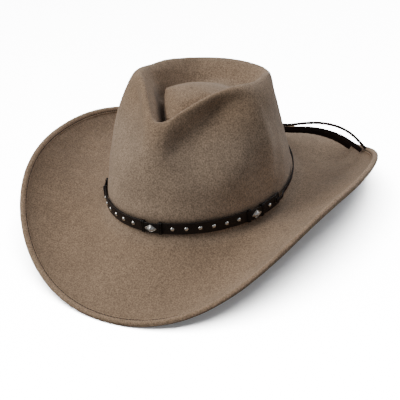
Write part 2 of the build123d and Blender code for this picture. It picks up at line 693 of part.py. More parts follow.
# loose tails of the tie: three thongs that arch out over the back of the brim
TAILS = {
    "tail_thin": (2.2, ((6.0, 115.0, 4.4), (21.0, 117.6, 1.2), (35.5, 120.6, -1.2),
                        (49.6, 125.2, 1.2), (65.0, 129.2, 3.3), (80.8, 131.8, 3.1),
                        (96.1, 132.4, 0.0), (110.2, 130.2, -6.2), (121.6, 126.8, -15.4))),
    "tail_flat_upper": (3.4, ((6.0, 111.5, 1.4), (21.0, 113.6, -1.6), (39.6, 115.8, -2.4),
                              (56.1, 120.7, -0.6), (71.7, 124.0, -1.2), (87.6, 126.0, -3.9),
                              (102.9, 126.4, -9.2), (117.4, 125.7, -18.2))),
    "tail_flat_lower": (3.4, ((6.0, 113.8, -1.8), (21.0, 117.0, -5.4), (36.9, 120.2, -7.0),
                              (51.4, 127.4, -8.0), (64.6, 133.4, -10.9), (77.3, 138.0, -15.5),
                              (88.2, 141.1, -21.0), (97.2, 143.2, -28.2))),
}
for name, (diameter, route) in TAILS.items():
    pts = [Vector(x, y + SHIFT_Y, z + SHIFT_Z) for x, y, z in route]
    radii, turns = [], []
    for a, b, c in zip(pts, pts[1:], pts[2:]):
        turn = math.radians((b - a).get_angle(c - b))
        radii.append(0.45 * min((b - a).length, (c - b).length) / math.tan(turn / 2))
        turns.append(math.degrees(turn))
    with BuildPart() as tail:
        with BuildLine() as way:
            FilletPolyline(*pts, radius=radii)
        with BuildSketch(Plane(origin=pts[0], z_dir=pts[1] - pts[0])):
            Circle(diameter / 2)
        sweep()
    length = way.wire().length
    area = math.pi * diameter ** 2 / 4
    print(name, "length", round(length, 1), "radii", [round(v, 1) for v in radii],
          "turns", [round(v, 1) for v in turns],
          "volume ratio", round(tail.part.volume / (area * length), 4))
    write(tail, name)
print("band half length", round(HALF, 2), "studs", sum(len(r) for r in stud_rows),
      [len(r) for r in stud_rows])
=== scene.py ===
import math

import bpy
import numpy as np
from mathutils import Matrix, Vector


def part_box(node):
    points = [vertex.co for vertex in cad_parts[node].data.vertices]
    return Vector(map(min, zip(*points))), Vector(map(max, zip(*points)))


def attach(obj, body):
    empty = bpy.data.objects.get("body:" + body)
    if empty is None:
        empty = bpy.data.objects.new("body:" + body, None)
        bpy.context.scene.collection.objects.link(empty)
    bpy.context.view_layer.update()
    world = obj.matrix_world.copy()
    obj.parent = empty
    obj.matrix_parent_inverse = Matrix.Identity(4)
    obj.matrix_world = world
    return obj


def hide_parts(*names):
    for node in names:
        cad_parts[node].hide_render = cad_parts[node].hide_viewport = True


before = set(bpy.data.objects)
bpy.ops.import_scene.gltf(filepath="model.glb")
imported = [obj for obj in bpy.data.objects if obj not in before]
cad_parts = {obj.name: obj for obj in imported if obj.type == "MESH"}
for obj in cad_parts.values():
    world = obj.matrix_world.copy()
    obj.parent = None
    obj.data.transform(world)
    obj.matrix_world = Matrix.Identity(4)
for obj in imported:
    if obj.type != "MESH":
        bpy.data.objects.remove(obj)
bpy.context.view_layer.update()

RNG = np.random.default_rng(20)
MM = 0.001

# ---------------------------------------------------------------- block tables
BLOCK_R = np.array((
    (0.00, 0.00, 0.00, 0.00, 0.00, 0.00, 0.00, 0.00, 0.00, 0.00, 0.00, 0.00, 0.00),
    (12.77, 12.77, 12.77, 12.77, 12.77, 12.77, 12.77, 12.77, 12.77, 12.77, 12.77, 12.77, 12.77),
    (29.86, 24.71, 22.49, 20.22, 20.88, 21.32, 26.16, 28.32, 29.82, 32.94, 36.45, 38.12, 39.12),
    (48.20, 35.31, 29.99, 26.66, 27.88, 30.29, 34.11, 40.45, 44.17, 50.53, 57.85, 63.05, 64.08),
    (60.50, 43.49, 38.31, 34.86, 34.91, 38.96, 43.76, 49.66, 53.45, 60.86, 66.55, 72.82, 74.39),
    (68.85, 51.46, 46.41, 42.61, 43.60, 47.22, 52.47, 57.27, 62.60, 70.70, 76.62, 84.88, 85.09),
    (75.76, 59.36, 51.37, 48.45, 49.65, 56.70, 62.71, 65.13, 70.32, 76.10, 85.77, 91.91, 92.33),
    (80.86, 69.46, 58.00, 52.83, 54.97, 65.00, 69.78, 73.27, 75.97, 79.39, 90.09, 96.20, 98.03),
    (85.70, 79.85, 69.35, 64.67, 63.31, 75.61, 76.41, 76.98, 79.14, 81.25, 90.66, 95.64, 101.62),
    (91.93, 90.38, 83.95, 80.50, 79.57, 83.15, 82.24, 80.49, 81.52, 85.74, 92.75, 96.63, 102.76),
    (99.16, 97.63, 92.43, 88.45, 87.90, 83.99, 83.03, 84.88, 84.28, 89.30, 94.38, 99.44, 102.83),
    (104.94, 103.02, 98.32, 92.91, 88.37, 85.46, 84.47, 85.46, 88.37, 92.91, 98.32, 103.02, 104.94),
    (105.29, 103.37, 98.67, 93.26, 88.72, 85.81, 84.82, 85.81, 88.72, 93.26, 98.67, 103.37, 105.29),
    (105.14, 103.22, 98.52, 93.11, 88.57, 85.66, 84.67, 85.66, 88.57, 93.11, 98.52, 103.22, 105.14),
    (106.44, 104.52, 99.82, 94.41, 89.87, 86.96, 85.97, 86.96, 89.87, 94.41, 99.82, 104.52, 106.44),
    (111.00, 108.74, 104.00, 99.33, 95.24, 92.23, 91.27, 92.27, 95.06, 98.95, 103.82, 109.72, 111.25),
    (118.69, 115.89, 111.17, 107.80, 104.36, 101.16, 100.27, 101.28, 103.94, 106.78, 110.67, 118.49, 119.40),
    (129.00, 125.71, 121.29, 119.48, 116.49, 112.93, 112.18, 113.28, 115.96, 117.78, 120.38, 130.02, 130.34),
    (141.12, 137.67, 134.03, 133.59, 130.37, 126.24, 125.69, 127.02, 130.09, 131.41, 132.70, 143.19, 143.25),
    (153.38, 150.25, 147.69, 147.80, 143.56, 138.72, 138.32, 140.09, 143.87, 145.54, 146.07, 156.06, 156.31),
    (165.79, 163.48, 161.93, 161.35, 155.47, 149.82, 149.42, 151.86, 156.58, 159.42, 160.28, 168.69, 169.49),
    (176.56, 175.30, 174.17, 171.65, 164.14, 157.77, 157.15, 160.38, 165.93, 170.31, 172.81, 179.42, 180.83),
    (183.81, 183.41, 182.09, 177.45, 168.89, 162.05, 161.13, 165.00, 171.04, 176.62, 181.16, 186.57, 188.40),
    (187.45, 187.53, 185.92, 179.95, 170.90, 163.84, 162.72, 166.93, 173.20, 179.39, 185.27, 190.16, 192.17),
))
BLOCK_Z = np.array((
    (92.82, 92.82, 92.82, 92.82, 92.82, 92.82, 92.82, 92.82, 92.82, 92.82, 92.82, 92.82, 92.82),
    (92.82, 92.82, 92.82, 92.82, 92.82, 92.82, 92.82, 92.82, 92.82, 92.82, 92.82, 92.82, 92.82),
    (90.94, 92.86, 92.30, 93.35, 92.27, 92.42, 91.84, 89.01, 86.27, 83.79, 82.62, 80.74, 80.70),
    (81.65, 82.43, 84.96, 86.48, 87.14, 87.53, 87.67, 81.44, 78.82, 73.28, 68.28, 68.85, 70.53),
    (84.66, 91.14, 94.43, 98.80, 100.40, 102.23, 102.72, 96.06, 92.81, 85.49, 73.06, 77.28, 80.32),
    (92.25, 98.67, 103.96, 107.52, 110.67, 111.88, 111.63, 106.03, 100.47, 96.47, 80.37, 86.22, 86.81),
    (85.63, 94.26, 99.20, 102.88, 106.00, 108.56, 105.38, 101.21, 97.79, 96.10, 89.04, 85.39, 82.93),
    (75.17, 77.37, 84.07, 87.41, 89.68, 96.16, 94.53, 91.48, 89.37, 86.97, 83.48, 77.94, 74.22),
    (60.49, 59.70, 63.29, 69.37, 73.22, 80.05, 77.26, 74.58, 73.09, 69.73, 67.52, 64.43, 60.37),
    (43.63, 42.72, 44.98, 49.71, 52.72, 58.16, 57.19, 55.39, 54.36, 53.28, 51.36, 50.70, 47.47),
    (27.60, 26.10, 25.65, 26.68, 28.32, 30.94, 30.58, 29.74, 29.37, 28.80, 28.37, 27.31, 28.07),
    (17.80, 17.14, 15.32, 12.77, 10.10, 7.93, 6.71, 6.63, 7.60, 9.23, 10.98, 12.30, 12.79),
    (9.80, 9.14, 7.32, 4.77, 2.10, -0.07, -1.29, -1.37, -0.40, 1.23, 2.98, 4.30, 4.79),
    (1.80, 1.14, -0.68, -3.23, -5.90, -8.07, -9.29, -9.37, -8.40, -6.77, -5.02, -3.70, -3.21),
    (-2.80, -3.46, -5.28, -7.83, -10.50, -12.67, -13.89, -13.97, -13.00, -11.37, -9.62, -8.30, -7.81),
    (-5.63, -6.77, -8.64, -10.21, -10.98, -12.46, -14.04, -14.42, -14.56, -14.29, -13.34, -9.80, -10.39),
    (-10.33, -12.24, -14.09, -13.79, -11.18, -11.43, -13.62, -14.56, -16.66, -18.86, -19.41, -12.21, -14.65),
    (-16.51, -19.13, -20.60, -17.47, -10.50, -9.21, -12.08, -13.81, -18.38, -23.94, -26.68, -15.66, -20.20),
    (-23.52, -26.38, -26.59, -19.54, -7.90, -4.98, -8.43, -11.10, -18.23, -27.75, -33.46, -20.17, -26.43),
    (-30.27, -32.55, -30.32, -18.63, -2.98, 1.31, -2.42, -6.07, -15.29, -28.63, -37.88, -25.36, -32.33),
    (-36.73, -37.42, -31.25, -14.30, 4.42, 9.80, 6.07, 1.48, -9.28, -26.04, -39.37, -31.38, -37.81),
    (-42.01, -40.39, -29.46, -7.80, 12.71, 18.78, 15.22, 9.91, -1.68, -20.88, -37.96, -37.32, -42.12),
    (-45.40, -41.67, -26.85, -2.11, 19.13, 25.54, 22.16, 16.44, 4.53, -15.97, -35.49, -41.71, -44.78),
    (-47.04, -42.08, -25.11, 1.10, 22.58, 29.12, 25.84, 19.94, 7.92, -13.12, -33.77, -44.04, -46.03),
))
SHIFT = np.array((0.0, -2.0, 48.39))
HEAD_X, HEAD_Y = 85.1, 104.6
SADDLE, TILT = 4.10, 2.48
FELT = 2.6
T_END = len(BLOCK_R) - 3
DEG = math.pi / 180


def smooth(a, b, x):
    u = np.clip((x - a) / (b - a), 0, 1)
    return u * u * (3 - 2 * u)


def bump(x, c, w):
    return np.exp(-((x - c) / w) ** 2)


def skew(x, c, w1, w2):
    return np.exp(-((x - c) / np.where(x < c, w1, w2)) ** 2)


# ---------------------------------------------------------------- felt surface
def _knots():
    return [0.0] * 3 + [float(v) for v in range(T_END + 1)] + [float(T_END)] * 3


def _basis(t, knots):
    t = min(max(t, 0.0), T_END - 1e-9)
    k = int(t) + 3
    n = [1.0]
    for p in range(1, 4):
        m = [0.0] * (p + 1)
        for j in range(p):
            a, b = knots[k - p + 1 + j], knots[k + 1 + j]
            w = n[j] / (b - a)
            m[j] += w * (b - t)
            m[j + 1] += w * (t - a)
        n = m
    return k - 3, n


DT = 0.02
NT = int(round(T_END / DT)) + 1
TB = np.zeros((NT, len(BLOCK_R)))
for _i in range(NT):
    _k, _n = _basis(_i * DT, _knots())
    TB[_i, _k:_k + 4] = _n
# fine table of the outside surface: rows ring parameter, columns quarter degrees
DA = 0.25
NA = int(360 / DA)


def _theta_rows(rows, theta):
    u = (np.asarray(theta) / 15.0) % 24
    i = u.astype(int)
    f = u - i
    w = ((1 - f) ** 3 / 6, (3 * f ** 3 - 6 * f * f + 4) / 6,
         (-3 * f ** 3 + 3 * f * f + 3 * f + 1) / 6, f ** 3 / 6)
    out = 0
    for k in range(4):
        c = (i - 1 + k) % 24
        c = np.where(c <= 12, c, 24 - c)
        out = out + rows[:, c] * w[k]
    return out


_ang = np.arange(NA) * DA
FR = TB @ _theta_rows(BLOCK_R, _ang)
FZ = TB @ _theta_rows(BLOCK_Z, _ang)
# shape detail that is too fine for the ring table

_T = (np.arange(NT) * DT)[:, None]
_A = ((_ang + 180) % 360 - 180)[None, :]


def crown_detail(theta, t):
    """Detail of the crown: (along the normal, outward, upward), mm."""
    a = np.abs(theta)
    side = np.where(theta >= 0, 1.0, 0.25)
    f = smooth(7, 17, a) * (1 - smooth(60, 92, a))
    tc = 6.15 - 0.6 * smooth(15, 70, a)
    dent = skew(t, tc, 0.62 - 0.1 * smooth(20, 75, a), 0.6 + 0.5 * smooth(12, 34, a) - 0.25 * smooth(20, 75, a))
    n = -7.8 * side * f * dent + 0.9 * side * f * bump(t, tc + 2.4, 0.8)
    n = n + 1.3 * side * f * bump(t, 4.5, 0.4)
    n = n + 3.2 * bump(theta, 54, 15) * bump(t, 8.4, 0.8)
    n = n + 3.0 * bump(theta, 85, 8) * bump(t, 7.6, 2.0) - 1.4 * bump(theta, 71, 8) * bump(t, 8.4, 1.8)
    low = 1.85 - 0.5 * smooth(40, 95, a)
    g = smooth(low, low + 0.45, t) * (1 - smooth(2.35, 3.4, t))
    back = smooth(95, 150, -theta) + smooth(70, 120, theta)
    up = -15.5 * (1 - 0.85 * back) * g + 4.2 * bump(t, 0, 1.2)
    out = 2.0 * bump(t, 3.4, 0.4) * (1 - smooth(70, 120, a))
    return n, out, up


_dr, _dz = np.gradient(FR, axis=0), np.gradient(FZ, axis=0)
_ln = np.maximum(np.hypot(_dr, _dz), 1e-9)
_n, _o, _up = crown_detail(_A, _T)
FR = FR + _n * (-_dz / _ln) + _o
FZ = FZ + _n * (_dr / _ln) + _up
_dr, _dz = np.gradient(FR, axis=0), np.gradient(FZ, axis=0)
_ln = np.maximum(np.hypot(_dr, _dz), 1e-9)
FNR, FNZ = -_dz / _ln, _dr / _ln
_seg = np.hypot(np.diff(FR, axis=0), np.diff(FZ, axis=0))
FD = np.zeros_like(FR)
FD[:-1] = np.cumsum(_seg[::-1], axis=0)[::-1]


def at_t(theta, t, off=0.0):
    """(r, z) on the felt's outside, moved out by off; arrays of one shape."""
    theta, t = np.broadcast_arrays(np.asarray(theta, float), np.asarray(t, float))
    a = (theta / DA) % NA
    i = np.floor(a).astype(int) % NA
    fa = a - np.floor(a)
    b = np.clip(t / DT, 0, NT - 1.001)
    j = np.floor(b).astype(int)
    fb = b - j
    i2 = (i + 1) % NA

    def pick(table):
        return ((table[j, i] * (1 - fa) + table[j, i2] * fa) * (1 - fb)
                + (table[j + 1, i] * (1 - fa) + table[j + 1, i2] * fa) * fb)
    r, z = pick(FR), pick(FZ)
    return r + off * pick(FNR), z + off * pick(FNZ)


EDGE_D = np.arange(0, 14.01, 0.1)
EDGE_T = np.zeros((len(EDGE_D), NA))
for _i in range(NA):
    EDGE_T[:, _i] = np.interp(EDGE_D, FD[::-1, _i], (np.arange(NT) * DT)[::-1])


def t_of_edge(theta, d):
    theta, d = np.broadcast_arrays(np.asarray(theta, float), np.asarray(d, float))
    a = (theta / DA) % NA
    i = np.floor(a).astype(int) % NA
    fa = a - np.floor(a)
    b = np.clip(d / 0.1, 0, len(EDGE_D) - 1.001)
    j = np.floor(b).astype(int)
    fb = b - j
    i2 = (i + 1) % NA
    return ((EDGE_T[j, i] * (1 - fa) + EDGE_T[j, i2] * fa) * (1 - fb)
            + (EDGE_T[j + 1, i] * (1 - fa) + EDGE_T[j + 1, i2] * fa) * fb)


def at_edge(theta, d, off=0.0):
    return at_t(theta, t_of_edge(theta, d), off)


def place(theta, rz):
    """Points in metres in the row frame."""
    s, c = np.sin(np.asarray(theta) * DEG), np.cos(np.asarray(theta) * DEG)
    r, z = rz
    return np.stack([r * s, -r * c + SHIFT[1], z + SHIFT[2]], -1) * MM


def oval(theta, grow=0.0):
    s, c = np.sin(np.asarray(theta) * DEG), np.cos(np.asarray(theta) * DEG)
    return 1 / np.sqrt((s / HEAD_X) ** 2 + (c / HEAD_Y) ** 2) + grow


def band_z(theta):
    return SADDLE * np.cos(2 * np.asarray(theta) * DEG) + TILT * np.cos(np.asarray(theta) * DEG)


# ---------------------------------------------------------------- mesh helpers
def mesh_object(name, verts, faces, material=None, flat=False):
    me = bpy.data.meshes.new(name)
    me.from_pydata([tuple(v) for v in verts], [], faces)
    me.update()
    if not flat:
        me.polygons.foreach_set("use_smooth", [True] * len(me.polygons))
    ob = bpy.data.objects.new(name, me)
    bpy.context.scene.collection.objects.link(ob)
    if material:
        me.materials.append(material)
    return ob


def grid_mesh(name, grid, wrap_u=False, wrap_v=False, material=None, caps=False, flat=False):
    """Quads over grid[u, v, 3]; wrap joins the last row or column to the first."""
    nu, nv = grid.shape[:2]
    idx = np.arange(nu * nv).reshape(nu, nv)
    if wrap_u:
        idx = np.vstack([idx, idx[:1]])
    if wrap_v:
        idx = np.hstack([idx, idx[:, :1]])
    q = np.stack([idx[:-1, :-1], idx[1:, :-1], idx[1:, 1:], idx[:-1, 1:]], -1).reshape(-1, 4)
    me = bpy.data.meshes.new(name)
    verts = grid.reshape(-1, 3)
    loops = q.reshape(-1).tolist()
    starts = list(range(0, len(loops), 4))
    totals = [4] * len(q)
    if caps:
        for row, rev in ((np.arange(nv), True), ((nu - 1) * nv + np.arange(nv), False)):
            row = row[::-1] if rev else row
            starts.append(len(loops))
            totals.append(len(row))
            loops += row.tolist()
    me.vertices.add(len(verts))
    me.vertices.foreach_set("co", verts.astype(np.float32).ravel())
    me.loops.add(len(loops))
    me.loops.foreach_set("vertex_index", np.array(loops, np.int32))
    me.polygons.add(len(starts))
    me.polygons.foreach_set("loop_start", np.array(starts, np.int32))
    me.polygons.foreach_set("loop_total", np.array(totals, np.int32))
    me.update(calc_edges=True)
    me.validate()
    if not flat:
        me.polygons.foreach_set("use_smooth", [True] * len(me.polygons))
    ob = bpy.data.objects.new(name, me)
    bpy.context.scene.collection.objects.link(ob)
    if material:
        me.materials.append(material)
    return ob


class Soup:
    """Many small closed pieces gathered in one mesh."""

    def __init__(self):
        self.v, self.f, self.n = [], [], 0

    def add(self, verts, faces):
        verts = np.asarray(verts, float).reshape(-1, 3)
        self.v.append(verts)
        self.f += [tuple(int(i) + self.n for i in f) for f in faces]
        self.n += len(verts)

    def tube(self, path, radius, sides=8, aspect=1.0, up=None, ends=True):
        """Closed tube along a path; radius may vary, aspect flattens it along up."""
        path = np.asarray(path, float)
        n = len(path)
        radius = np.broadcast_to(np.asarray(radius, float), (n,))
        tang = np.gradient(path, axis=0)
        tang /= np.linalg.norm(tang, axis=1)[:, None]
        if up is None:
            ref = np.array([0.0, 0, 1]) if abs(tang[0, 2]) < 0.9 else np.array([1.0, 0, 0])
            ups = [ref - tang[0] * (ref @ tang[0])]
            for i in range(1, n):
                u = ups[-1] - tang[i] * (ups[-1] @ tang[i])
                ups.append(u)
            ups = np.array(ups)
        else:
            ups = np.broadcast_to(np.asarray(up, float), (n, 3)).copy()
            ups -= tang * np.sum(ups * tang, 1)[:, None]
        ups /= np.linalg.norm(ups, axis=1)[:, None]
        side = np.cross(tang, ups)
        a = np.arange(sides) / sides * 2 * math.pi
        ring = (np.cos(a)[None, :, None] * side[:, None, :]
                + aspect * np.sin(a)[None, :, None] * ups[:, None, :]) * radius[:, None, None]
        verts = (path[:, None, :] + ring).reshape(-1, 3)
        faces = []
        for i in range(n - 1):
            for j in range(sides):
                k = (j + 1) % sides
                faces.append((i * sides + j, i * sides + k, (i + 1) * sides + k, (i + 1) * sides + j))
        faces.append(tuple(range(sides))[::-1])
        faces.append(tuple((n - 1) * sides + j for j in range(sides)))
        self.add(verts, faces)

    def build(self, name, material=None, flat=False):
        return mesh_object(name, np.vstack(self.v), self.f, material, flat)


# ---------------------------------------------------------------- materials
def node(nt, kind, **values):
    n = nt.nodes.new(kind)
    for key, value in values.items():
        if key in n.inputs:
            n.inputs[key].default_value = value
        else:
            setattr(n, key, value)
    return n


def ramp(nt, stops):
    r = nt.nodes.new("ShaderNodeValToRGB")
    els = r.color_ramp.elements
    while len(els) < len(stops):
        els.new(0.5)
    for e, (p, c) in zip(els, stops):
        e.position = p
        e.color = (*c, 1)
    return r


def lin(r, g, b, k=1.0):
    def f(v):
        v = v / 255
        return (v / 12.92 if v <= 0.04045 else ((v + 0.055) / 1.055) ** 2.4) * k
    return (f(r), f(g), f(b))


def scaled(c, k):
    return tuple(min(v * k, 1.0) for v in c)


def start_material(name):
    m = bpy.data.materials.new(name)
    m.use_nodes = True
    nt = m.node_tree
    bsdf = nt.nodes["Principled BSDF"]
    return m, nt, bsdf


def noise(nt, co, scale, detail=4.0, rough=0.55, kind="FBM", distortion=0.0):
    n = nt.nodes.new("ShaderNodeTexNoise")
    n.noise_dimensions = "3D"
    n.noise_type = kind
    n.inputs["Scale"].default_value = scale
    n.inputs["Detail"].default_value = detail
    n.inputs["Roughness"].default_value = rough
    n.inputs["Distortion"].default_value = distortion
    nt.links.new(co, n.inputs["Vector"])
    return n


def mix_rgb(nt, kind, fac, a, b):
    n = nt.nodes.new("ShaderNodeMix")
    n.data_type = "RGBA"
    n.blend_type = kind
    if isinstance(fac, (int, float)):
        n.inputs[0].default_value = fac
    else:
        nt.links.new(fac, n.inputs[0])
    for sock, v in ((n.inputs[6], a), (n.inputs[7], b)):
        if isinstance(v, tuple):
            sock.default_value = (*v, 1)
        else:
            nt.links.new(v, sock)
    return n.outputs[2]


def bump_node(nt, height, strength, distance, below=None):
    b = nt.nodes.new("ShaderNodeBump")
    b.inputs["Strength"].default_value = strength
    b.inputs["Distance"].default_value = distance
    nt.links.new(height, b.inputs["Height"])
    if below is not None:
        nt.links.new(below, b.inputs["Normal"])
    return b.outputs["Normal"]


def felt_material(name, base, dark=0.72, light=1.22, nap=1.0, grain=0.7):
    """Pressed wool: mottled tone, short crossed fibres, soft nap."""
    m, nt, bsdf = start_material(name)
    co = nt.nodes.new("ShaderNodeTexCoord").outputs["Object"]
    big = noise(nt, co, 26, 3, 0.5)
    mid = noise(nt, co, 210, 5, 0.62)
    fine = noise(nt, co, 950, 6, 0.72)
    fib = noise(nt, co, 700, 5, 0.6, "RIDGED_MULTIFRACTAL", 0.6)
    tone = ramp(nt, [(0.30, scaled(base, 0.90)), (0.5, base), (0.70, scaled(base, 1.08))])
    nt.links.new(big.outputs["Fac"], tone.inputs["Fac"])
    mott = ramp(nt, [(0.25, (dark,) * 3), (0.5, (1.0,) * 3), (0.78, (light,) * 3)])
    nt.links.new(mid.outputs["Fac"], mott.inputs["Fac"])
    c1 = mix_rgb(nt, "MULTIPLY", 0.45, tone.outputs["Color"], mott.outputs["Color"])
    speck = ramp(nt, [(0.28, (0.70, 0.68, 0.66)), (0.5, (1, 1, 1)), (0.74, (1.32, 1.30, 1.26))])
    nt.links.new(fine.outputs["Fac"], speck.inputs["Fac"])
    c2 = mix_rgb(nt, "MULTIPLY", 0.75, c1, speck.outputs["Color"])
    fr = ramp(nt, [(0.0, (0.93, 0.93, 0.93)), (0.55, (1, 1, 1)), (1.0, (1.22, 1.2, 1.17))])
    nt.links.new(fib.outputs["Fac"], fr.inputs["Fac"])
    c3 = mix_rgb(nt, "MULTIPLY", 0.8, c2, fr.outputs["Color"])
    tuft = noise(nt, co, 760, 2, 0.6)
    tf = ramp(nt, [(0.34, (0.58, 0.57, 0.56)), (0.5, (1, 1, 1)), (0.66, (1.48, 1.46, 1.44))])
    nt.links.new(tuft.outputs["Fac"], tf.inputs["Fac"])
    c3 = mix_rgb(nt, "MULTIPLY", grain, c3, tf.outputs["Color"])
    # painted light: the crown's sides are tinted a little lighter and greyer than the brim and the crease's top, for
    # the cooler light that falls on them
    oval = nt.nodes.new("ShaderNodeVectorMath")
    oval.operation = "MULTIPLY"
    nt.links.new(co, oval.inputs[0])
    oval.inputs[1].default_value = (11.36, 9.35, 0.0)
    span = nt.nodes.new("ShaderNodeVectorMath")
    span.operation = "LENGTH"
    nt.links.new(oval.outputs["Vector"], span.inputs[0])
    height = nt.nodes.new("ShaderNodeSeparateXYZ")
    nt.links.new(co, height.inputs["Vector"])
    part = []
    for value, start, stop in ((span.outputs["Value"], 0.98, 1.12), (height.outputs["Z"], 0.115, 0.14)):
        fade = nt.nodes.new("ShaderNodeMapRange")
        fade.inputs["From Min"].default_value, fade.inputs["From Max"].default_value = start, stop
        fade.inputs["To Min"].default_value, fade.inputs["To Max"].default_value = 1.0, 0.0
        nt.links.new(value, fade.inputs["Value"])
        part.append(fade.outputs["Result"])
    painted_crown_light_mask = nt.nodes.new("ShaderNodeMath")
    painted_crown_light_mask.operation = "MULTIPLY"
    nt.links.new(part[0], painted_crown_light_mask.inputs[0])
    nt.links.new(part[1], painted_crown_light_mask.inputs[1])
    c3 = mix_rgb(nt, "MULTIPLY", painted_crown_light_mask.outputs["Value"], c3, (1.06, 1.12, 1.20))
    # painted shade: the felt's colour is darkened where ambient occlusion finds folds and creases, such as the crown's
    # trench
    ao = nt.nodes.new("ShaderNodeAmbientOcclusion")
    ao.inputs["Distance"].default_value = 0.016
    ao.samples = 8
    painted_crease_shade = ramp(nt, [(0.2, (0.60, 0.57, 0.54)), (0.6, (0.73, 0.71, 0.69)), (0.85, (1.0, 1.0, 1.0))])
    nt.links.new(ao.outputs["AO"], painted_crease_shade.inputs["Fac"])
    c3 = mix_rgb(nt, "MULTIPLY", 1.0, c3, painted_crease_shade.outputs["Color"])
    nt.links.new(c3, bsdf.inputs["Base Color"])
    n1 = bump_node(nt, mid.outputs["Fac"], 0.35 * nap, 0.0009)
    n2 = bump_node(nt, fine.outputs["Fac"], 0.55 * nap, 0.0004, n1)
    n3 = bump_node(nt, fib.outputs["Fac"], 0.30 * nap, 0.00025, n2)
    nt.links.new(n3, bsdf.inputs["Normal"])
    bsdf.inputs["Roughness"].default_value = 0.96
    bsdf.inputs["Specular IOR Level"].default_value = 0.18
    bsdf.inputs["Sheen Weight"].default_value = 0.22
    bsdf.inputs["Sheen Roughness"].default_value = 0.45
    bsdf.inputs["Sheen Tint"].default_value = (0.86, 0.80, 0.72, 1)
    return m


def leather_material(name, base, rough=(0.42, 0.62), grain=900, wear=(0.05, 0.04, 0.03), strength=0.5, shine=0.32):
    """Dyed hide: pebbled grain, pores, uneven dye."""
    m, nt, bsdf = start_material(name)
    co = nt.nodes.new("ShaderNodeTexCoord").outputs["Object"]
    vor = nt.nodes.new("ShaderNodeTexVoronoi")
    vor.feature = "DISTANCE_TO_EDGE"
    vor.inputs["Scale"].default_value = grain
    nt.links.new(co, vor.inputs["Vector"])
    cell = ramp(nt, [(0.0, (0, 0, 0)), (0.18, (1, 1, 1))])
    nt.links.new(vor.outputs["Distance"], cell.inputs["Fac"])
    big = noise(nt, co, 90, 4, 0.6)
    fine = noise(nt, co, 2600, 4, 0.6)
    tone = ramp(nt, [(0.3, scaled(base, 0.6)), (0.52, base), (0.75, tuple(min(a + b, 1) for a, b in zip(base, wear)))])
    nt.links.new(big.outputs["Fac"], tone.inputs["Fac"])
    pits = mix_rgb(nt, "MULTIPLY", 0.45, tone.outputs["Color"], cell.outputs["Color"])
    nt.links.new(pits, bsdf.inputs["Base Color"])
    n1 = bump_node(nt, cell.outputs["Color"], strength, 0.00012)
    n2 = bump_node(nt, fine.outputs["Fac"], strength * 0.5, 0.00006, n1)
    n3 = bump_node(nt, big.outputs["Fac"], 0.25, 0.0005, n2)
    nt.links.new(n3, bsdf.inputs["Normal"])
    rr = nt.nodes.new("ShaderNodeMapRange")
    rr.inputs["To Min"].default_value, rr.inputs["To Max"].default_value = rough
    nt.links.new(fine.outputs["Fac"], rr.inputs["Value"])
    nt.links.new(rr.outputs["Result"], bsdf.inputs["Roughness"])
    bsdf.inputs["Specular IOR Level"].default_value = shine
    return m


def metal_material(name, base, tarnish, rough=(0.16, 0.42), scale=700):
    """Plated metal with dull hollows and fine scratches."""
    m, nt, bsdf = start_material(name)
    co = nt.nodes.new("ShaderNodeTexCoord").outputs["Object"]
    big = noise(nt, co, scale, 5, 0.62)
    fine = noise(nt, co, scale * 7, 3, 0.5)
    tone = ramp(nt, [(0.32, tarnish), (0.47, base), (0.8, scaled(base, 1.05))])
    nt.links.new(big.outputs["Fac"], tone.inputs["Fac"])
    ao = nt.nodes.new("ShaderNodeAmbientOcclusion")
    ao.inputs["Distance"].default_value = 0.0012
    ao.samples = 6
    c = mix_rgb(nt, "MIX", ao.outputs["AO"], scaled(tarnish, 0.35), tone.outputs["Color"])
    nt.links.new(c, bsdf.inputs["Base Color"])
    bsdf.inputs["Metallic"].default_value = 1.0
    rr = nt.nodes.new("ShaderNodeMapRange")
    rr.inputs["To Min"].default_value, rr.inputs["To Max"].default_value = rough
    nt.links.new(big.outputs["Fac"], rr.inputs["Value"])
    nt.links.new(rr.outputs["Result"], bsdf.inputs["Roughness"])
    nt.links.new(bump_node(nt, fine.outputs["Fac"], 0.12, 0.00003), bsdf.inputs["Normal"])
    return m


def woven_material(name, base, scale=1500, rough=0.6, sheen=0.1):
    """Thread or ribbon: fine ribs under a slight sheen."""
    m, nt, bsdf = start_material(name)
    co = nt.nodes.new("ShaderNodeTexCoord").outputs["Object"]
    wav = nt.nodes.new("ShaderNodeTexWave")
    wav.wave_type = "BANDS"
    wav.bands_direction = "DIAGONAL"
    wav.inputs["Scale"].default_value = scale
    wav.inputs["Distortion"].default_value = 1.2
    nt.links.new(co, wav.inputs["Vector"])
    big = noise(nt, co, 320, 4, 0.6)
    tone = ramp(nt, [(0.3, scaled(base, 0.75)), (0.7, scaled(base, 1.15))])
    nt.links.new(big.outputs["Fac"], tone.inputs["Fac"])
    rib = ramp(nt, [(0.0, (0.65, 0.65, 0.65)), (0.6, (1, 1, 1))])
    nt.links.new(wav.outputs["Fac"], rib.inputs["Fac"])
    c = mix_rgb(nt, "MULTIPLY", 0.8, tone.outputs["Color"], rib.outputs["Color"])
    nt.links.new(c, bsdf.inputs["Base Color"])
    nt.links.new(bump_node(nt, wav.outputs["Fac"], 0.4, 0.0001), bsdf.inputs["Normal"])
    bsdf.inputs["Roughness"].default_value = rough
    bsdf.inputs["Sheen Weight"].default_value = sheen
    return m


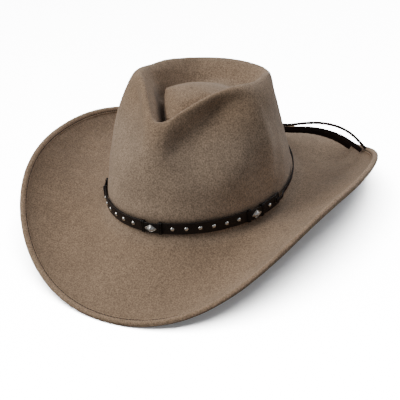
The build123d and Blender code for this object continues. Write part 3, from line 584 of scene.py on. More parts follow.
FELT_TONE = lin(157, 133, 110)
M = {
    "felt": felt_material("wool_felt", FELT_TONE),
    # the edge binding is the same felt painted 16% lighter: a painted highlight for light on its rounded outer face
    "binding": felt_material("edge_felt", scaled(FELT_TONE, 1.16), nap=1.15),
    # the edge stitch thread's dark colour is partly the thread's own and partly painted shade of the stitch groove
    "edge_thread": woven_material("edge_thread", scaled(FELT_TONE, 0.22), 2600, 0.75, 0.1),
    "strap": leather_material("strap_leather", lin(32, 20, 15), (0.42, 0.62), 1500, lin(36, 24, 17, 0.5), 0.45),
    "keeper": leather_material("keeper_leather", lin(24, 16, 13), (0.34, 0.50), 1300, lin(28, 20, 17, 0.5), 0.35),
    "lace": leather_material("loop_leather", lin(20, 14, 11), (0.36, 0.54), 2000, lin(24, 17, 14, 0.5), 0.3),
    "thong": leather_material("thong_leather", lin(34, 21, 15), (0.48, 0.68), 1700, lin(36, 23, 16, 0.5), 0.4, 0.16),
    "sweat": leather_material("sweatband_leather", lin(74, 52, 38), (0.38, 0.56), 1100, lin(40, 30, 22, 0.5), 0.4),
    "reed": leather_material("reed_cover", lin(62, 43, 32), (0.4, 0.6), 1300, lin(36, 26, 20, 0.5), 0.35),
    "sweat_thread": woven_material("sweat_thread", lin(120, 100, 78), 2600, 0.6, 0.15),
    "ribbon": woven_material("bow_ribbon", lin(66, 47, 36), 1700, 0.5, 0.3),
    "tab": woven_material("tab_ribbon", lin(186, 178, 164), 1900, 0.7, 0.2),
    "silver": metal_material("antique_silver", (0.78, 0.76, 0.71), (0.30, 0.28, 0.25), (0.16, 0.38), 500),
    "stud": metal_material("stud_silver", (0.80, 0.78, 0.73), (0.34, 0.32, 0.29), (0.12, 0.32), 700),
    "steel": metal_material("screw_steel", (0.62, 0.62, 0.61), (0.36, 0.35, 0.33), (0.25, 0.45), 600),
    "eyelet": metal_material("eyelet_metal", (0.36, 0.33, 0.29), (0.16, 0.14, 0.12), (0.28, 0.5), 600),
    "wire": metal_material("brim_wire_steel", (0.55, 0.54, 0.52), (0.3, 0.28, 0.25), (0.3, 0.5), 600),
}


def dress(obj, body, material, slot, *nodes):
    """One visual piece: rides a body, stands for nodes, takes a material from the table if it has none; slot is not
    used.
    """
    if obj.type == "MESH" and not obj.data.materials:
        obj.data.materials.append(M[material])
    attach(obj, body)
    if nodes:
        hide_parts(*nodes)
    return obj


# ---------------------------------------------------------------- camera
AL, EL, ROLL, DIST = 32.4067, 30.9237, -6.27, 1.2
_a, _e, _q = AL * DEG, EL * DEG, ROLL * DEG
_b = Vector((math.sin(_a) * math.cos(_e), -math.cos(_a) * math.cos(_e), math.sin(_e)))
_r = Vector((math.cos(_a), math.sin(_a), 0))
_u = _b.cross(_r)
_r2 = _r * math.cos(_q) + _u * math.sin(_q)
_u2 = _u * math.cos(_q) - _r * math.sin(_q)
cam_data = bpy.data.cameras.new("camera")
cam = bpy.data.objects.new("camera", cam_data)
bpy.context.scene.collection.objects.link(cam)
cam.matrix_world = (Matrix.Translation(Vector(tuple(SHIFT * MM)) + _b * DIST)
                    @ Matrix((_r2, _u2, _b)).transposed().to_4x4())
cam_data.sensor_width = 36
cam_data.lens = 36 * 1214.16 / 400
cam_data.shift_x = -0.00159
cam_data.shift_y = -0.06326
cam_data.clip_start, cam_data.clip_end = 0.05, 60
bpy.context.scene.camera = cam

# ---------------------------------------------------------------- loose tails
TAILS = {
    "tail_thin": (0.0022, 0.1235, [(6.0, 115.0, 4.4), (21.0, 117.6, 1.2), (35.5, 120.6, -1.2),
        (49.6, 125.2, 1.2), (65.0, 129.2, 3.3), (80.8, 131.8, 3.1), (96.1, 132.4, 0.0),
        (110.2, 130.2, -6.2), (121.6, 126.8, -15.4)]),
    "tail_flat_upper": (0.0034, 0.1167, [(6.0, 111.5, 1.4), (21.0, 113.6, -1.6),
        (39.6, 115.8, -2.4), (56.1, 120.7, -0.6), (71.7, 124.0, -1.2), (87.6, 126.0, -3.9),
        (102.9, 126.4, -9.2), (117.4, 125.7, -18.2)]),
    "tail_flat_lower": (0.0034, 0.1014, [(6.0, 113.8, -1.8), (21.0, 117.0, -5.4),
        (36.9, 120.2, -7.0), (51.4, 127.4, -8.0), (64.6, 133.4, -10.9), (77.3, 138.0, -15.5),
        (88.2, 141.1, -21.0), (97.2, 143.2, -28.2)]),
}


def nurbs_line(points):
    """Points of the quadratic NURBS line through these control points' hull."""
    cu = bpy.data.curves.new("guide", "CURVE")
    cu.dimensions = "3D"
    sp = cu.splines.new("NURBS")
    sp.points.add(len(points) - 1)
    for p, c in zip(sp.points, points):
        p.co = (*c, 1)
    sp.order_u = 3
    sp.use_endpoint_u = True
    sp.resolution_u = 14
    ob = bpy.data.objects.new("guide", cu)
    bpy.context.scene.collection.objects.link(ob)
    me = ob.to_mesh()
    line = [tuple(v.co) for v in me.vertices]
    ob.to_mesh_clear()
    bpy.data.objects.remove(ob)
    bpy.data.curves.remove(cu)
    return line


def thong_ring(flat, k):
    """Cross-section of a thong: round cord, or a strip with rounded corners."""
    a = (np.arange(k) + 0.5) / k * 2 * math.pi
    if not flat:
        return np.stack([np.cos(a), np.sin(a)], -1) * 1.3
    c, s = np.cos(a), np.sin(a)
    e = 0.42
    return np.stack([np.sign(c) * np.abs(c) ** e * 1.38, np.sign(s) * np.abs(s) ** e * 0.56], -1)


def thong_mesh(name, line, diameter, flat, material, lean):
    line = np.array(line)
    seg = np.linalg.norm(np.diff(line, axis=0), axis=1)
    dist = np.concatenate([[0], np.cumsum(seg)])
    n = int(dist[-1] / 0.0009) + 2
    dd = np.linspace(0, dist[-1], n)
    path = np.stack([np.interp(dd, dist, line[:, k]) for k in range(3)], -1)
    for _ in range(6):
        path[1:-1] = (path[:-2] + 2 * path[1:-1] + path[2:]) / 4
    tang = np.gradient(path, axis=0)
    tang /= np.linalg.norm(tang, axis=1)[:, None]
    up = np.array([0.0, 0, 1.0])
    side = np.cross(tang, up)
    side /= np.linalg.norm(side, axis=1)[:, None]
    nrm = np.cross(side, tang)
    ang = np.interp(dd / dist[-1], [0, 0.3, 1], [lean[0], lean[1], lean[2]]) * DEG
    w = side * np.cos(ang)[:, None] + nrm * np.sin(ang)[:, None]
    h = -side * np.sin(ang)[:, None] + nrm * np.cos(ang)[:, None]
    ring = thong_ring(flat, 20 if flat else 14)
    rad = diameter / 2
    wob = 1 + 0.03 * np.sin(dd * 900 + 1.3) + 0.02 * np.sin(dd * 2300)
    grid = (path[:, None, :] + w[:, None, :] * (ring[None, :, 0:1] * rad * wob[:, None, None])
            + h[:, None, :] * (ring[None, :, 1:2] * rad * wob[:, None, None]))
    return grid_mesh(name, grid, wrap_v=True, caps=True, material=material), path


for _name, (_dia, _len, _pts) in TAILS.items():
    _ctrl = [tuple((np.array(p) + SHIFT) * MM) for p in _pts]
    _line = nurbs_line(_ctrl)
    _flat = "flat" in _name
    _lean = {"tail_thin": (0, 0, 0), "tail_flat_upper": (112, 118, 124), "tail_flat_lower": (108, 114, 122)}[_name]
    _ob, _path = thong_mesh("loose_" + _name, _line, _dia, _flat, M["thong"], _lean)
    dress(_ob, "hatband", "thong", "thong_leather", _name)

# ---------------------------------------------------------------- floor and light
floor_m, floor_nt, floor_b = start_material("floor")
_co = floor_nt.nodes.new("ShaderNodeTexCoord").outputs["Object"]
_n = noise(floor_nt, _co, 3.0, 3, 0.5)
_rp = ramp(floor_nt, [(0.3, (0.90, 0.90, 0.905)), (0.7, (0.92, 0.92, 0.92))])
floor_nt.links.new(_n.outputs["Fac"], _rp.inputs["Fac"])
floor_nt.links.new(_rp.outputs["Color"], floor_b.inputs["Base Color"])
floor_b.inputs["Roughness"].default_value = 0.9
floor_b.inputs["Specular IOR Level"].default_value = 0.0
floor_b.inputs["Emission Color"].default_value = (1, 1, 1, 1)
floor_b.inputs["Emission Strength"].default_value = 0.1
floor = mesh_object("floor", [(-9, -9, 0), (9, -9, 0), (9, 9, 0), (-9, 9, 0)], [(0, 1, 2, 3)], floor_m)
floor.location.z = -0.0003
floor.visible_diffuse = False
floor.visible_glossy = False

world = bpy.data.worlds.new("world")
bpy.context.scene.world = world
world.use_nodes = True
_wn = world.node_tree
_bg = _wn.nodes["Background"]
_bg.inputs["Color"].default_value = (0.94, 0.985, 1.06, 1)
_bg.inputs["Strength"].default_value = 0.238
_gen = _wn.nodes.new("ShaderNodeTexCoord").outputs["Generated"]
_sep = _wn.nodes.new("ShaderNodeSeparateXYZ")
_wn.links.new(_gen, _sep.inputs["Vector"])
_fall = _wn.nodes.new("ShaderNodeMapRange")
_fall.inputs["From Min"].default_value, _fall.inputs["From Max"].default_value = -0.35, 0.05
_fall.inputs["To Min"].default_value, _fall.inputs["To Max"].default_value = 0.0, 1.0
_wn.links.new(_sep.outputs["Z"], _fall.inputs["Value"])
_sky = mix_rgb(_wn, "MIX", _fall.outputs["Result"], (0.42, 0.41, 0.40), (0.94, 0.985, 1.06))
_wn.links.new(_sky, _bg.inputs["Color"])


def area_light(name, direction, distance, size, power, colour=(1, 1, 1), target=(0, 0, 0.06)):
    ld = bpy.data.lights.new(name, "AREA")
    ld.shape = "SQUARE"
    ld.size = size
    ld.energy = power
    ld.color = colour
    ob = bpy.data.objects.new(name, ld)
    bpy.context.scene.collection.objects.link(ob)
    d = Vector(direction).normalized()
    ob.location = Vector(target) + d * distance
    ob.rotation_mode = "QUATERNION"
    ob.rotation_quaternion = (-d).to_track_quat("-Z", "Y")
    return ob


def compass(azimuth, elevation):
    """Direction of a light: azimuth from the front towards the wearer's left."""
    a, e = azimuth * DEG, elevation * DEG
    return (math.sin(a) * math.cos(e), -math.cos(a) * math.cos(e), math.sin(e))


area_light("key", compass(-45, 50), 2.3, 1.0, 24.4, (1.02, 1.0, 0.97))
area_light("key_low", compass(-45, 20), 2.3, 1.0, 5.1, (1.02, 1.0, 0.97))
area_light("side_low", compass(-90, 20), 2.3, 1.0, 4.6)
area_light("side", compass(-90, 50), 2.3, 1.0, 8.0)
area_light("rear_low", compass(180, 20), 2.3, 1.0, 15.3, (0.94, 0.985, 1.06))
area_light("rear", compass(180, 50), 2.3, 1.0, 5.2, (0.94, 0.985, 1.06))
area_light("rim_low", compass(130, 20), 2.3, 1.0, 5.3, (0.94, 0.985, 1.06))
area_light("rim", compass(135, 50), 2.3, 1.0, 1.8, (0.94, 0.985, 1.06))
table_light = area_light("table_light", compass(28, 72), 2.4, 1.9, 1200)
only_floor = bpy.data.collections.new("only_floor")
only_floor.objects.link(floor)
table_light.light_linking.receiver_collection = only_floor

# ---------------------------------------------------------------- felt shell
NTH = 960
th = np.arange(NTH) * 360.0 / NTH
t_in = t_of_edge(th, 3.3)


def soft_waves(p, amp, scale, seed, count=14):
    """Smooth irregularity of a hand-blocked surface, in mm."""
    g = np.random.default_rng(seed)
    out = np.zeros(p.shape[:-1])
    for _ in range(count):
        k = g.normal(size=3)
        k *= 2 * math.pi / (scale * g.uniform(0.6, 1.6)) / np.linalg.norm(k)
        out += np.sin(p @ k + g.uniform(0, 6.28))
    return out * amp / math.sqrt(count / 2)


def felt_sheet(rows, off):
    """Rows of points from the crown's middle out to the felt's edge."""
    f = np.linspace(0.0, 1.0, rows)
    tt = f[:, None] * t_in[None, :]
    tt = np.maximum(tt, 0.02)
    tt2 = np.broadcast_to(th, tt.shape)
    base = place(tt2, at_t(tt2, tt, 0.0)) / MM
    wave = soft_waves(base, 0.16, 38.0, 5) + soft_waves(base, 0.05, 11.0, 6)
    near_band = bump(tt, 12.2, 1.2)
    edge = smooth(0.955, 0.985, f)[:, None]
    wave = wave * (1 - 0.85 * np.clip(near_band, 0, 1)) * (1 - edge)
    return place(tt2, at_t(tt2, tt, wave + off))


outer = felt_sheet(420, 0.0)
inner = felt_sheet(200, -FELT)
grid = np.concatenate([outer, inner[::-1]], 0)
felt = grid_mesh("felt_shell", grid, wrap_v=True)
dress(felt, "hat", "felt", "felt", "felt_body")

# ---------------------------------------------------------------- edge binding
STITCH_N = 352
NB = STITCH_N * 10
bth = np.arange(NB) * 360.0 / NB
_ep = place(bth, at_edge(bth, 0.0)) / MM
_arc = np.concatenate([[0], np.cumsum(np.linalg.norm(np.diff(np.vstack([_ep, _ep[:1]]), axis=0), axis=1))])
EDGE_LEN = _arc[-1]
PITCH = EDGE_LEN / STITCH_N


def edge_angle(s):
    """Angle of a place at an arc length along the brim's edge."""
    return np.interp(np.asarray(s) % EDGE_LEN, _arc, np.append(bth, 360.0))


sec_top = [(6.85, 0.06), (6.9, 0.45), (6.75, 0.80), (6.45, 1.00), (6.1, 1.02), (5.8, 0.88), (5.5, 0.62),
           (5.2, 0.50), (4.95, 0.66), (4.7, 0.98), (4.35, 1.28), (3.8, 1.50), (3.0, 1.60), (2.2, 1.50),
           (1.5, 1.24), (0.9, 0.82), (0.45, 0.30), (0.12, -0.35), (0.0, -1.0)]
section = sec_top + [(0.0, -1.6)] + [(d, -FELT - z) for d, z in reversed(sec_top)]
closing = [(6.3, -FELT - 0.1), (4.0, -FELT - 0.1), (1.6, -FELT + 0.2), (1.4, -1.3),
           (1.6, -0.2), (4.0, 0.1), (6.3, 0.1)]
rows = []
s_here = _arc[:-1]
ph = (s_here / PITCH) % 1.0
pucker = np.cos(2 * math.pi * (ph - 0.5))         # +1 mid-stitch, -1 between
uneven = soft_waves(_ep, 0.10, 22.0, 9)
for d, z in section:
    w_st = math.exp(-((d - 5.2) / 0.42) ** 2)
    w_in = math.exp(-((d - 6.5) / 0.5) ** 2)
    sgn = 1 if z > -FELT / 2 else -1
    dz = sgn * (-0.20 * w_st * (0.5 + 0.5 * pucker) + 0.05 * math.exp(-((d - 4.0) / 1.0) ** 2) * pucker
                + uneven * 0.6 * (1 if 0.3 < d < 6.6 else 0.3))
    dd_ = np.maximum(d + w_in * 0.22 * pucker + uneven * 1.2 * (1 if d > 6 else 0), 0.0)
    rows.append(place(bth, at_edge(bth, dd_, z + dz)))
for d, z in closing:
    rows.append(place(bth, at_edge(bth, d, z)))
binding = grid_mesh("brim_binding", np.array(rows), wrap_u=True, wrap_v=True)
dress(binding, "hat", "binding", "binding_felt", "brim_edge_binding")

# stitch threads along the binding; their dark colour is partly painted shade of the stitch groove
threads = Soup()
for side in (1, -1):
    shift = 0.0 if side > 0 else 0.5
    for k in range(STITCH_N):
        mid = (k + 0.5 + shift) * PITCH
        half = PITCH * (0.42 + 0.02 * math.sin(k * 1.7))
        s = mid + np.linspace(-half, half, 7)
        u = np.linspace(-1, 1, 7)
        a = edge_angle(s)
        lift = 0.64 + 0.16 * (1 - u ** 4) - 0.30 * np.abs(u) ** 6
        jitter = 0.06 * math.sin(k * 2.3)
        off = lift if side > 0 else -FELT - lift
        pts = place(a, at_edge(a, 5.2 + jitter, off))
        threads.tube(pts, 0.00036 * (1 - 0.45 * np.abs(u) ** 4), 6)
edge_threads = threads.build("edge_stitch_threads")
dress(edge_threads, "hat", "edge_thread", "edge_thread", "edge_stitching")

# ---------------------------------------------------------------- sweatband
SW_LOW, SW_H = -8.0, 34.0
SW_T, SW_GAP = 1.2, 0.55
NS = 720
sth = np.arange(NS) * 360.0 / NS


def crown_t(theta, z):
    """Ring parameter on the crown's side at a height."""
    theta, z = np.broadcast_arrays(np.asarray(theta, float), np.asarray(z, float))
    out = np.empty(theta.shape)
    j0, j1 = int(8.0 / DT), int(14.0 / DT)
    for q in range(theta.size):
        i = int(round((theta.flat[q] / DA))) % NA
        col = FZ[j0:j1 + 1, i]
        out.flat[q] = np.interp(-z.flat[q], -col, (j0 + np.arange(j1 - j0 + 1)) * DT)
    return out


lv = np.linspace(0, 1, 15)
sw_rows = []
for inward, order in ((0.0, lv), (SW_T, lv[::-1])):
    for f in order:
        h = SW_LOW + SW_H * f
        pinch = 0.12 if f in (0.0, 1.0) else 0.0
        h2 = h + (0.5 if f == 1.0 and inward else 0.0) * 0
        zt = band_z(sth) + h + (0.25 * np.sin(sth * DEG * 5) if f == 1.0 else 0.0)
        r, _z = at_t(sth, crown_t(sth, zt), -(FELT + SW_GAP + abs(inward - pinch)))
        sw_rows.append(place(sth, (r, zt)))
sweat = grid_mesh("sweatband_leather", np.array(sw_rows), wrap_u=True, wrap_v=True)
dress(sweat, "hat", "sweat", "sweatband", "sweatband")

reed_soup = Soup()
rth = np.linspace(-177.0, 177.0, 361)
rt = crown_t(rth, band_z(rth) + SW_LOW)
rr_, _z = at_t(rth, rt, -(FELT + SW_GAP + SW_T + 1.25))
reed_soup.tube(place(rth, (rr_, band_z(rth) + SW_LOW + 1.1)), 0.0009, 12)
reed = reed_soup.build("sweatband_reed_tube")
dress(reed, "hat", "reed", "reed", "sweatband_reed")

sw_soup = Soup()
n_sw = 150
for k in range(n_sw):
    a0 = -176.0 + (k + 0.14) * 352.0 / n_sw
    a = np.linspace(a0, a0 + 352.0 / n_sw * 0.72, 6)
    u = np.linspace(-1, 1, 6)
    zt = band_z(a) + SW_LOW + 3.65 + 0.5 * u * (0.35)
    r, _z = at_t(a, crown_t(a, zt), -(FELT + SW_GAP + SW_T + 0.12 + 0.12 * (1 - u ** 4)))
    sw_soup.tube(place(a, (r, zt)), 0.00022, 6)
sw_st = sw_soup.build("sweatband_stitches")
dress(sw_st, "hat", "sweat_thread", "sweat_thread", "sweatband_stitching")

# bow: two flat folded loops and a wrapped middle, at the sweatband's back seam
b_lo, b_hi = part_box("sweatband_bow")
bow_c = (np.array(b_lo) + np.array(b_hi)) / 2
bow = Soup()


def ribbon(path, width, thick, up):
    """Flat closed ribbon along a path; up is the ribbon's width direction."""
    path = np.asarray(path, float)
    n = len(path)
    up = np.broadcast_to(np.asarray(up, float), (n, 3))
    tang = np.gradient(path, axis=0)
    tang /= np.linalg.norm(tang, axis=1)[:, None]
    nrm = np.cross(tang, up)
    nrm /= np.linalg.norm(nrm, axis=1)[:, None]
    width = np.broadcast_to(np.asarray(width, float), (n,))
    prof = [(-0.5, -0.35), (-0.47, -0.5), (0, -0.5), (0.47, -0.5), (0.5, -0.35),
            (0.5, 0.35), (0.47, 0.5), (0, 0.5), (-0.47, 0.5), (-0.5, 0.35)]
    g = np.array([[path[i] + up[i] * width[i] * a + nrm[i] * thick * b for a, b in prof] for i in range(n)])
    k = len(prof)
    faces = []
    for i in range(n - 1):
        for j in range(k):
            m = (j + 1) % k
            faces.append((i * k + j, i * k + m, (i + 1) * k + m, (i + 1) * k + j))
    faces.append(tuple(range(k))[::-1])
    faces.append(tuple((n - 1) * k + j for j in range(k)))
    return g.reshape(-1, 3), faces


for sgn in (-1, 1):
    ang = np.linspace(0.15, 2 * math.pi - 0.15, 33)
    x = sgn * (6.6 - 5.2 * np.cos(ang)) * MM
    y = (-0.0 + 0.62 * np.sin(ang)) * MM
    path = np.stack([bow_c[0] + x, bow_c[1] + y, np.full_like(x, bow_c[2])], -1)
    wdt = (3.4 + 3.4 * smooth(0, 9, np.abs(x) / MM)) * MM
    bow.add(*ribbon(path, wdt, 0.0003, (0, 0, 1)))
ang = np.linspace(0, 2 * math.pi, 25)[:-1]
knot_path = np.stack([np.full(25, bow_c[0]),
                      bow_c[1] + 1.15 * MM * np.cos(np.linspace(0, 2 * math.pi, 25)),
                      bow_c[2] + 2.5 * MM * np.sin(np.linspace(0, 2 * math.pi, 25))], -1)
bow.add(*ribbon(knot_path, 4.6 * MM, 0.0004, (1, 0, 0)))
bow_ob = bow.build("back_bow")
dress(bow_ob, "hat", "ribbon", "bow_ribbon", "sweatband_bow")

# ---------------------------------------------------------------- hatband
STRAP_GAP, STRAP_T, STRAP_W = 1.4, 1.6, 12.0
STRAP_OUT = STRAP_GAP + STRAP_T
_aa = np.arange(0, 180.01, 0.1)
_bp = place(_aa, (oval(_aa, STRAP_OUT), band_z(_aa))) / MM
ARC_S = np.concatenate([[0], np.cumsum(np.linalg.norm(np.diff(_bp, axis=0), axis=1))])
HALF = ARC_S[-1]


def band_angle(length):
    length = np.asarray(length, float)
    return np.sign(length) * np.interp(np.abs(length), ARC_S, _aa)


def band_frame(length, grow):
    """origin, along, up, out (mm and unit vectors) standing on the band."""
    a = float(band_angle(length))
    p = place(a, (oval(a, grow), band_z(a))) / MM
    b = place(a + 0.1, (oval(a + 0.1, grow), band_z(a + 0.1))) / MM
    along = b - p
    level = np.array([along[0], along[1], 0])
    level /= np.linalg.norm(level)
    out = np.array([level[1], -level[0], 0])
    along = along / np.linalg.norm(along)
    up = np.cross(out, along)
    return p, along, up, out


PERIOD, FIRST, CONCHOS = 104.7, 8.5, 3
concho_at = [FIRST + PERIOD * (i - CONCHOS // 2) for i in range(CONCHOS)]
BACK_END = 151.0
STRAP_END = 6.3
ends = [(-BACK_END, concho_at[0] - STRAP_END)]
for i in range(CONCHOS - 1):
    ends.append((concho_at[i] + STRAP_END, concho_at[i + 1] - STRAP_END))
ends.append((concho_at[-1] + STRAP_END, BACK_END))
EYELETS = [-(BACK_END - 6.0), BACK_END - 6.0]
stud_rows = []
for i, (lo, hi) in enumerate(ends):
    row = []
    if i == 0:
        l = concho_at[0] - 20.07
        while l > EYELETS[0] + 9:
            row.append(l)
            l -= 12.91
    else:
        l = concho_at[i - 1] + 20.07
        limit = hi - 3.0 if i < CONCHOS else EYELETS[1] - 9
        while l < limit and len(row) < 6:
            row.append(l)
            l += 12.91
    stud_rows.append(row)


def leather_strip(name, lo, hi, gap, thick, width, step=0.5, edge=0.45, groove=None, dents=(),
                  taper=0.0, dome=0.0, seed=1, end_round=0.5):
    """Bent leather strip along the band with eased edges and pressed details."""
    n = max(12, int((hi - lo) / step))
    ls = np.linspace(lo, hi, n)
    # outline of the section: (v across, u out), counter-clockwise
    hw = width / 2
    vs = np.linspace(-hw + edge, hw - edge, 25)
    outl = [(v, thick) for v in vs]
    arc = np.linspace(90, 0, 5)[1:] * DEG
    right = [(hw - edge + edge * math.cos(x), thick - edge + edge * math.sin(x)) for x in arc]
    arc = np.linspace(0, -90, 5)[1:] * DEG
    right += [(hw - edge + edge * math.cos(x), edge + edge * math.sin(x)) for x in arc]
    inner_ = [(v, 0.0) for v in np.linspace(hw - edge, -hw + edge, 7)]
    left = [(-a, b) for a, b in right[::-1]]
    sec = outl + right[:-1] + inner_ + left[1:]
    v = np.array([a for a, b in sec])
    u = np.array([b for a, b in sec])
    is_out = np.array([b > thick - 1e-6 for a, b in sec])
    g = np.empty((n, len(sec), 3))
    rg = np.random.default_rng(seed)
    ph1, ph2 = rg.uniform(0, 6.28, 2)
    for i, l in enumerate(ls):
        a = float(band_angle(l))
        e = min(l - lo, hi - l)
        shrink = 1.0 - (1 - math.sqrt(max(0.0, 1 - (1 - min(e / end_round, 1)) ** 2))) * min(1.0, end_round / hw * 1.2)
        tk = 0.5 + 0.5 * math.sqrt(max(0.0, 1 - (1 - min(e / 0.5, 1)) ** 2))
        w_scale = shrink * (1 + 0.006 * math.sin(l * 0.21 + ph1))
        vv = v * w_scale
        uu = thick / 2 + (u - thick / 2) * tk
        d = np.zeros(len(sec))
        if groove:
            d -= groove[1] * np.exp(-((np.abs(v) - (hw - groove[0])) / 0.35) ** 2)
        d += dome * (1 - (v / hw) ** 2)
        d += 0.05 * np.sin(l * 0.33 + ph2 + v * 0.4) + 0.03 * np.sin(l * 0.9 + v)
        for l0, depth, rad in dents:
            rr2 = np.hypot(l - l0, v)
            d -= depth * np.exp(-(rr2 / rad) ** 2)
        uu = uu + d * is_out
        g[i] = place(np.full(len(sec), a), (oval(a, gap) + uu, band_z(a) + vv))
    ob = grid_mesh(name, g, wrap_v=True, caps=True)
    return ob


for i, (lo, hi) in enumerate(ends):
    dents = [(l, 0.16, 2.6) for l in stud_rows[i]]
    ob = leather_strip(f"strap_{i + 1}", lo, hi, STRAP_GAP, STRAP_T, STRAP_W, 0.6,
                       0.5, (1.35, 0.16), dents, dome=0.06, seed=i + 1,
                       end_round=0.6)
    dress(ob, "hatband", "strap", "strap_leather", f"hatband_strap_{i + 1}")

KEEP_LEN, KEEP_W, KEEP_T = 20.6, 10.6, 1.1
KEEP_IN = STRAP_OUT + 0.12
KEEP_OUT = KEEP_IN + KEEP_T
for i, l0 in enumerate(concho_at):
    ob = leather_strip(f"keeper_{i + 1}", l0 - KEEP_LEN / 2, l0 + KEEP_LEN / 2, KEEP_IN, KEEP_T, KEEP_W,
                       0.35, 0.4, None, [(l0, 0.12, 6.0), (l0 - 8.5, 0.14, 1.7), (l0 + 8.5, 0.14, 1.7)],
                       dome=0.22, seed=40 + i, end_round=1.2)
    dress(ob, "hatband", "keeper", "keeper_leather", f"concho_keeper_{i + 1}")

loops = Soup()
for l0 in concho_at:
    for sd in (-1, 1):
        for strand in (-0.78, 0.78):
            p, along, up, out = band_frame(l0 + sd * 8.5 + strand, 0)
            lo_u, hi_u = STRAP_GAP - 0.24, KEEP_OUT + 0.24
            hv = STRAP_W / 2 + 0.34
            cu_, hu = (lo_u + hi_u) / 2, (hi_u - lo_u) / 2
            rc = 1.1
            pts = []
            for cx_, cv_, a0 in ((hu - rc, hv - rc, 0), (-(hu - rc), hv - rc, 90),
                                 (-(hu - rc), -(hv - rc), 180), (hu - rc, -(hv - rc), 270)):
                for q in np.linspace(a0, a0 + 90, 6):
                    pts.append((cu_ + cx_ + rc * math.cos(q * DEG), cv_ + rc * math.sin(q * DEG)))
            pts.append(pts[0])
            pts = np.array(pts)
            dens = []
            for q in range(len(pts) - 1):
                m = max(1, int(np.linalg.norm(pts[q + 1] - pts[q]) / 0.8))
                for w in range(m):
                    dens.append(pts[q] + (pts[q + 1] - pts[q]) * w / m)
            dens = np.array(dens)
            skew = strand * 0.10 * dens[:, 1] / 6
            ring3 = (p[None, :] + out[None, :] * dens[:, 0:1] + up[None, :] * dens[:, 1:2]
                     + along[None, :] * skew[:, None])
            # closed loop: a band 1.45 wide, 0.55 thick
            n = len(ring3)
            tang = np.roll(ring3, -1, 0) - np.roll(ring3, 1, 0)
            tang /= np.linalg.norm(tang, axis=1)[:, None]
            nrm = np.cross(along[None, :], tang)
            prof = [(-0.70, -0.10), (-0.6, -0.20), (0, -0.21), (0.6, -0.20), (0.70, -0.10),
                    (0.70, 0.08), (0.55, 0.19), (0, 0.23), (-0.55, 0.19), (-0.70, 0.08)]
            if np.sum((ring3[0] + nrm[0] - (p + out * cu_)) ** 2) < np.sum((ring3[0] - (p + out * cu_)) ** 2):
                nrm = -nrm
            vv = np.array([[ring3[q] + along * x + nrm[q] * y for x, y in prof] for q in range(n)]) * MM
            k = len(prof)
            fc = []
            for q in range(n):
                q2 = (q + 1) % n
                for j in range(k):
                    j2 = (j + 1) % k
                    fc.append((q * k + j, q * k + j2, q2 * k + j2, q2 * k + j))
            loops.add(vv, fc)
loops_ob = loops.build("keeper_lacing")
dress(loops_ob, "hatband", "lace", "loop_leather", "keeper_loops")


def on_frame(fr, pts):
    p, along, up, out = fr
    pts = np.asarray(pts, float)
    return (p + pts[:, 0:1] * along + pts[:, 1:2] * up + pts[:, 2:3] * out) * MM


# conchos: raised four-sided rim, sunk border and a faceted centre
CON_IN = KEEP_OUT + 0.1
CL, CH = 13.2 / 2, 8.6 / 2


def diamond(scale, z, k=6, round_=0.10):
    pts = []
    corners = [(CL, 0), (0, CH), (-CL, 0), (0, -CH)]
    for a, b in zip(corners, corners[1:] + corners[:1]):
        for q in range(k):
            f = q / k
            x, y = a[0] + (b[0] - a[0]) * f, a[1] + (b[1] - a[1]) * f
            if q == 0:
                x, y = x * (1 - round_), y * (1 - round_)
            pts.append((x * scale, y * scale, z))
    return pts


for i, l0 in enumerate(concho_at):
    fr = band_frame(l0, CON_IN)
    levels = [(0.98, 0.0), (1.0, 0.12), (1.0, 0.62), (0.965, 0.86), (0.90, 0.90), (0.845, 0.82),
              (0.80, 0.56), (0.75, 0.52), (0.70, 0.66), (0.42, 1.95), (0.30, 2.42), (0.10, 2.50)]
    rings = [on_frame(fr, diamond(s, z)) for s, z in levels]
    g = np.array(rings)
    ob = grid_mesh(f"concho_face_{i + 1}", g, wrap_v=True, caps=True, flat=True)
    dress(ob, "hatband", "silver", "concho_metal")
    post = Soup()
    q = np.linspace(0, 2 * math.pi, 25)[:-1]
    tube_v, tube_f = [], []
    for r_, z_ in ((1.3, -KEEP_T - 0.1), (1.95, -KEEP_T - 0.1), (1.95, 0.2), (1.3, 0.2)):
        tube_v += [(r_ * math.cos(x), r_ * math.sin(x), z_) for x in q]
    for a in range(4):
        b = (a + 1) % 4
        for j in range(24):
            k = (j + 1) % 24
            tube_f.append((a * 24 + j, a * 24 + k, b * 24 + k, b * 24 + j))
    post.add(on_frame(fr, tube_v), tube_f)
    pob = post.build(f"concho_post_{i + 1}")
    dress(pob, "hatband", "silver", "concho_metal", f"concho_{i + 1}")

# domed studs with a small rolled foot and the shank below
studs = Soup()
prof = [(0.0, 1.33), (0.35, 1.31), (0.75, 1.22), (1.15, 1.05), (1.5, 0.80), (1.78, 0.50), (1.93, 0.26),
        (2.02, 0.12), (2.0, 0.0), (0.72, 0.0), (0.72, -STRAP_T - 0.35)]
q = np.linspace(0, 2 * math.pi, 25)[:-1]
for row in stud_rows:
    for l in row:
        fr = band_frame(l, STRAP_OUT + 0.10)
        vs_, fs_ = [(0, 0, prof[0][1])], []
        for r_, z_ in prof[1:]:
            vs_ += [(r_ * math.cos(x), r_ * math.sin(x), z_) for x in q]
        for j in range(24):
            fs_.append((0, 1 + j, 1 + (j + 1) % 24))
        for a in range(len(prof) - 2):
            for j in range(24):
                k = (j + 1) % 24
                fs_.append((1 + a * 24 + j, 1 + (a + 1) * 24 + j, 1 + (a + 1) * 24 + k, 1 + a * 24 + k))
        fs_.append(tuple(1 + (len(prof) - 2) * 24 + j for j in range(24))[::-1])
        studs.add(on_frame(fr, vs_), fs_)
studs_ob = studs.build("stud_domes")
dress(studs_ob, "hatband", "stud", "stud_metal", "stud_caps")

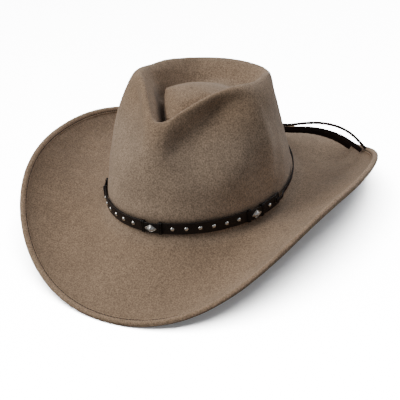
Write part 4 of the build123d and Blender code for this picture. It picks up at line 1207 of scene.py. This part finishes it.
# ---------------------------------------------------------------- back tie
for sgn, nm in ((1, "tie_thong_left"), (-1, "tie_thong_right")):
    ls = np.linspace(BACK_END - 9.0, HALF - 6.6, 220)
    over = 1 - smooth(BACK_END + 1.5, BACK_END + 12, ls)
    back = smooth(HALF - 18, HALF - 9, ls)
    lift = STRAP_GAP + 0.1 + (STRAP_T + 0.85) * over + (STRAP_T + 0.5) * back + 0.7
    lift += 0.06 * np.sin(ls * 0.31 + sgn) + 0.04 * np.sin(ls * 0.83)
    a = band_angle(sgn * ls)
    droop = 0.18 * np.sin(ls * 0.11 + 2 * sgn)
    path = place(a, (oval(a, lift), band_z(a) + droop))
    radial = path - np.array([0, SHIFT[1] * MM, 0])
    radial[:, 2] = 0
    radial /= np.linalg.norm(radial, axis=1)[:, None]
    end = np.minimum(1, (ls - ls[0]) / 1.8)
    rad = 0.0019 * np.sqrt(np.maximum(0.12, 1 - (1 - end) ** 2)) * (1 + 0.02 * np.sin(ls * 0.57))
    tang = np.gradient(path, axis=0)
    tang /= np.linalg.norm(tang, axis=1)[:, None]
    side_ = np.cross(tang, radial)
    side_ /= np.linalg.norm(side_, axis=1)[:, None]
    ring = thong_ring(True, 20)
    ring = ring / np.abs(ring).max(0)
    g = (path[:, None, :] + side_[:, None, :] * (ring[None, :, 0:1] * rad[:, None, None])
         + radial[:, None, :] * (ring[None, :, 1:2] * 0.00068))
    strip = grid_mesh(nm + "_strip", g, wrap_v=True, caps=True)
    dress(strip, "hatband", "thong", "thong_leather")
    fr = band_frame(sgn * (BACK_END - 6.0), STRAP_OUT)
    q = np.linspace(0, 2 * math.pi, 21)[:-1]
    vs_, fs_ = [], []
    for r_, z_ in ((1.3, 1.0), (1.3, -1.0), (1.1, -1.15)):
        vs_ += [(r_ * math.cos(x), r_ * math.sin(x), z_) for x in q]
    for k in range(2):
        for j in range(20):
            m = (j + 1) % 20
            fs_.append((k * 20 + j, k * 20 + m, (k + 1) * 20 + m, (k + 1) * 20 + j))
    fs_.append(tuple(range(20)))
    fs_.append(tuple(40 + j for j in range(20))[::-1])
    peg = Soup()
    peg.add(on_frame(fr, vs_), fs_)
    ob = peg.build(nm + "_lace")
    dress(ob, "hatband", "thong", "thong_leather", nm)

# knot of the same thong: two turns round the joined ends and one lying across
k_lo, k_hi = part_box("tie_knot")
kc = (np.array(k_lo) + np.array(k_hi)) / 2
kh = (np.array(k_hi) - np.array(k_lo)) / 2
knot = Soup()


def oval_turn(x0, x1, turns, ry, rz, phase, n):
    f = np.linspace(0, 1, n)
    ang = phase + f * turns * 2 * math.pi
    return np.stack([kc[0] + (x0 + (x1 - x0) * f), kc[1] + ry * np.cos(ang), kc[2] + rz * np.sin(ang)], -1), ang


for x0, x1, turns, ry, rz, phase in ((-0.0041, 0.0041, 2.0, 0.0034, 0.0044, 2.6),):
    pth, ang = oval_turn(x0, x1, turns, ry, rz, phase, 90)
    radial = np.stack([np.zeros_like(ang), np.cos(ang) * rz, np.sin(ang) * ry], -1)
    knot.tube(pth, 0.0019, 16, 0.5, radial)
f = np.linspace(0, 1, 40)
cross_ = np.stack([kc[0] - 0.0052 + 0.0104 * f,
                   kc[1] + 0.0030 * np.sin(f * math.pi) ** 0.7 + 0.0008,
                   kc[2] - 0.0036 + 0.0072 * f], -1)
knot.tube(cross_, 0.0018, 16, 0.5, (0, 1, 0))
core = np.stack([kc[0] + np.linspace(-0.0062, 0.0062, 16), np.full(16, kc[1] - 0.0002), np.full(16, kc[2])], -1)
knot.tube(core, 0.0024, 16, 0.9)
for dy, dz in ((0.0012, 0.0024), (-0.0018, -0.0004), (0.0008, -0.0030)):
    seg_ = np.stack([kc[0] + np.linspace(-0.001, 0.0066, 12), np.full(12, kc[1] + dy), np.full(12, kc[2] + dz)], -1)
    knot.tube(seg_, 0.0014, 12, 0.8)
knot_ob = knot.build("thong_knot")
dress(knot_ob, "hatband", "thong", "thong_leather", "tie_knot")

# ---------------------------------------------------------------- CAD pieces kept
KEPT = {"brim_wire": "wire", "brim_wire_sleeve": "wire", "size_tab": "tab", "concho_screws": "steel",
        "stud_washers": "steel", "tie_eyelets": "eyelet"}
for n_, m_ in KEPT.items():
    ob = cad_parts[n_]
    ob.data.materials.clear()
    ob.data.materials.append(M[m_])
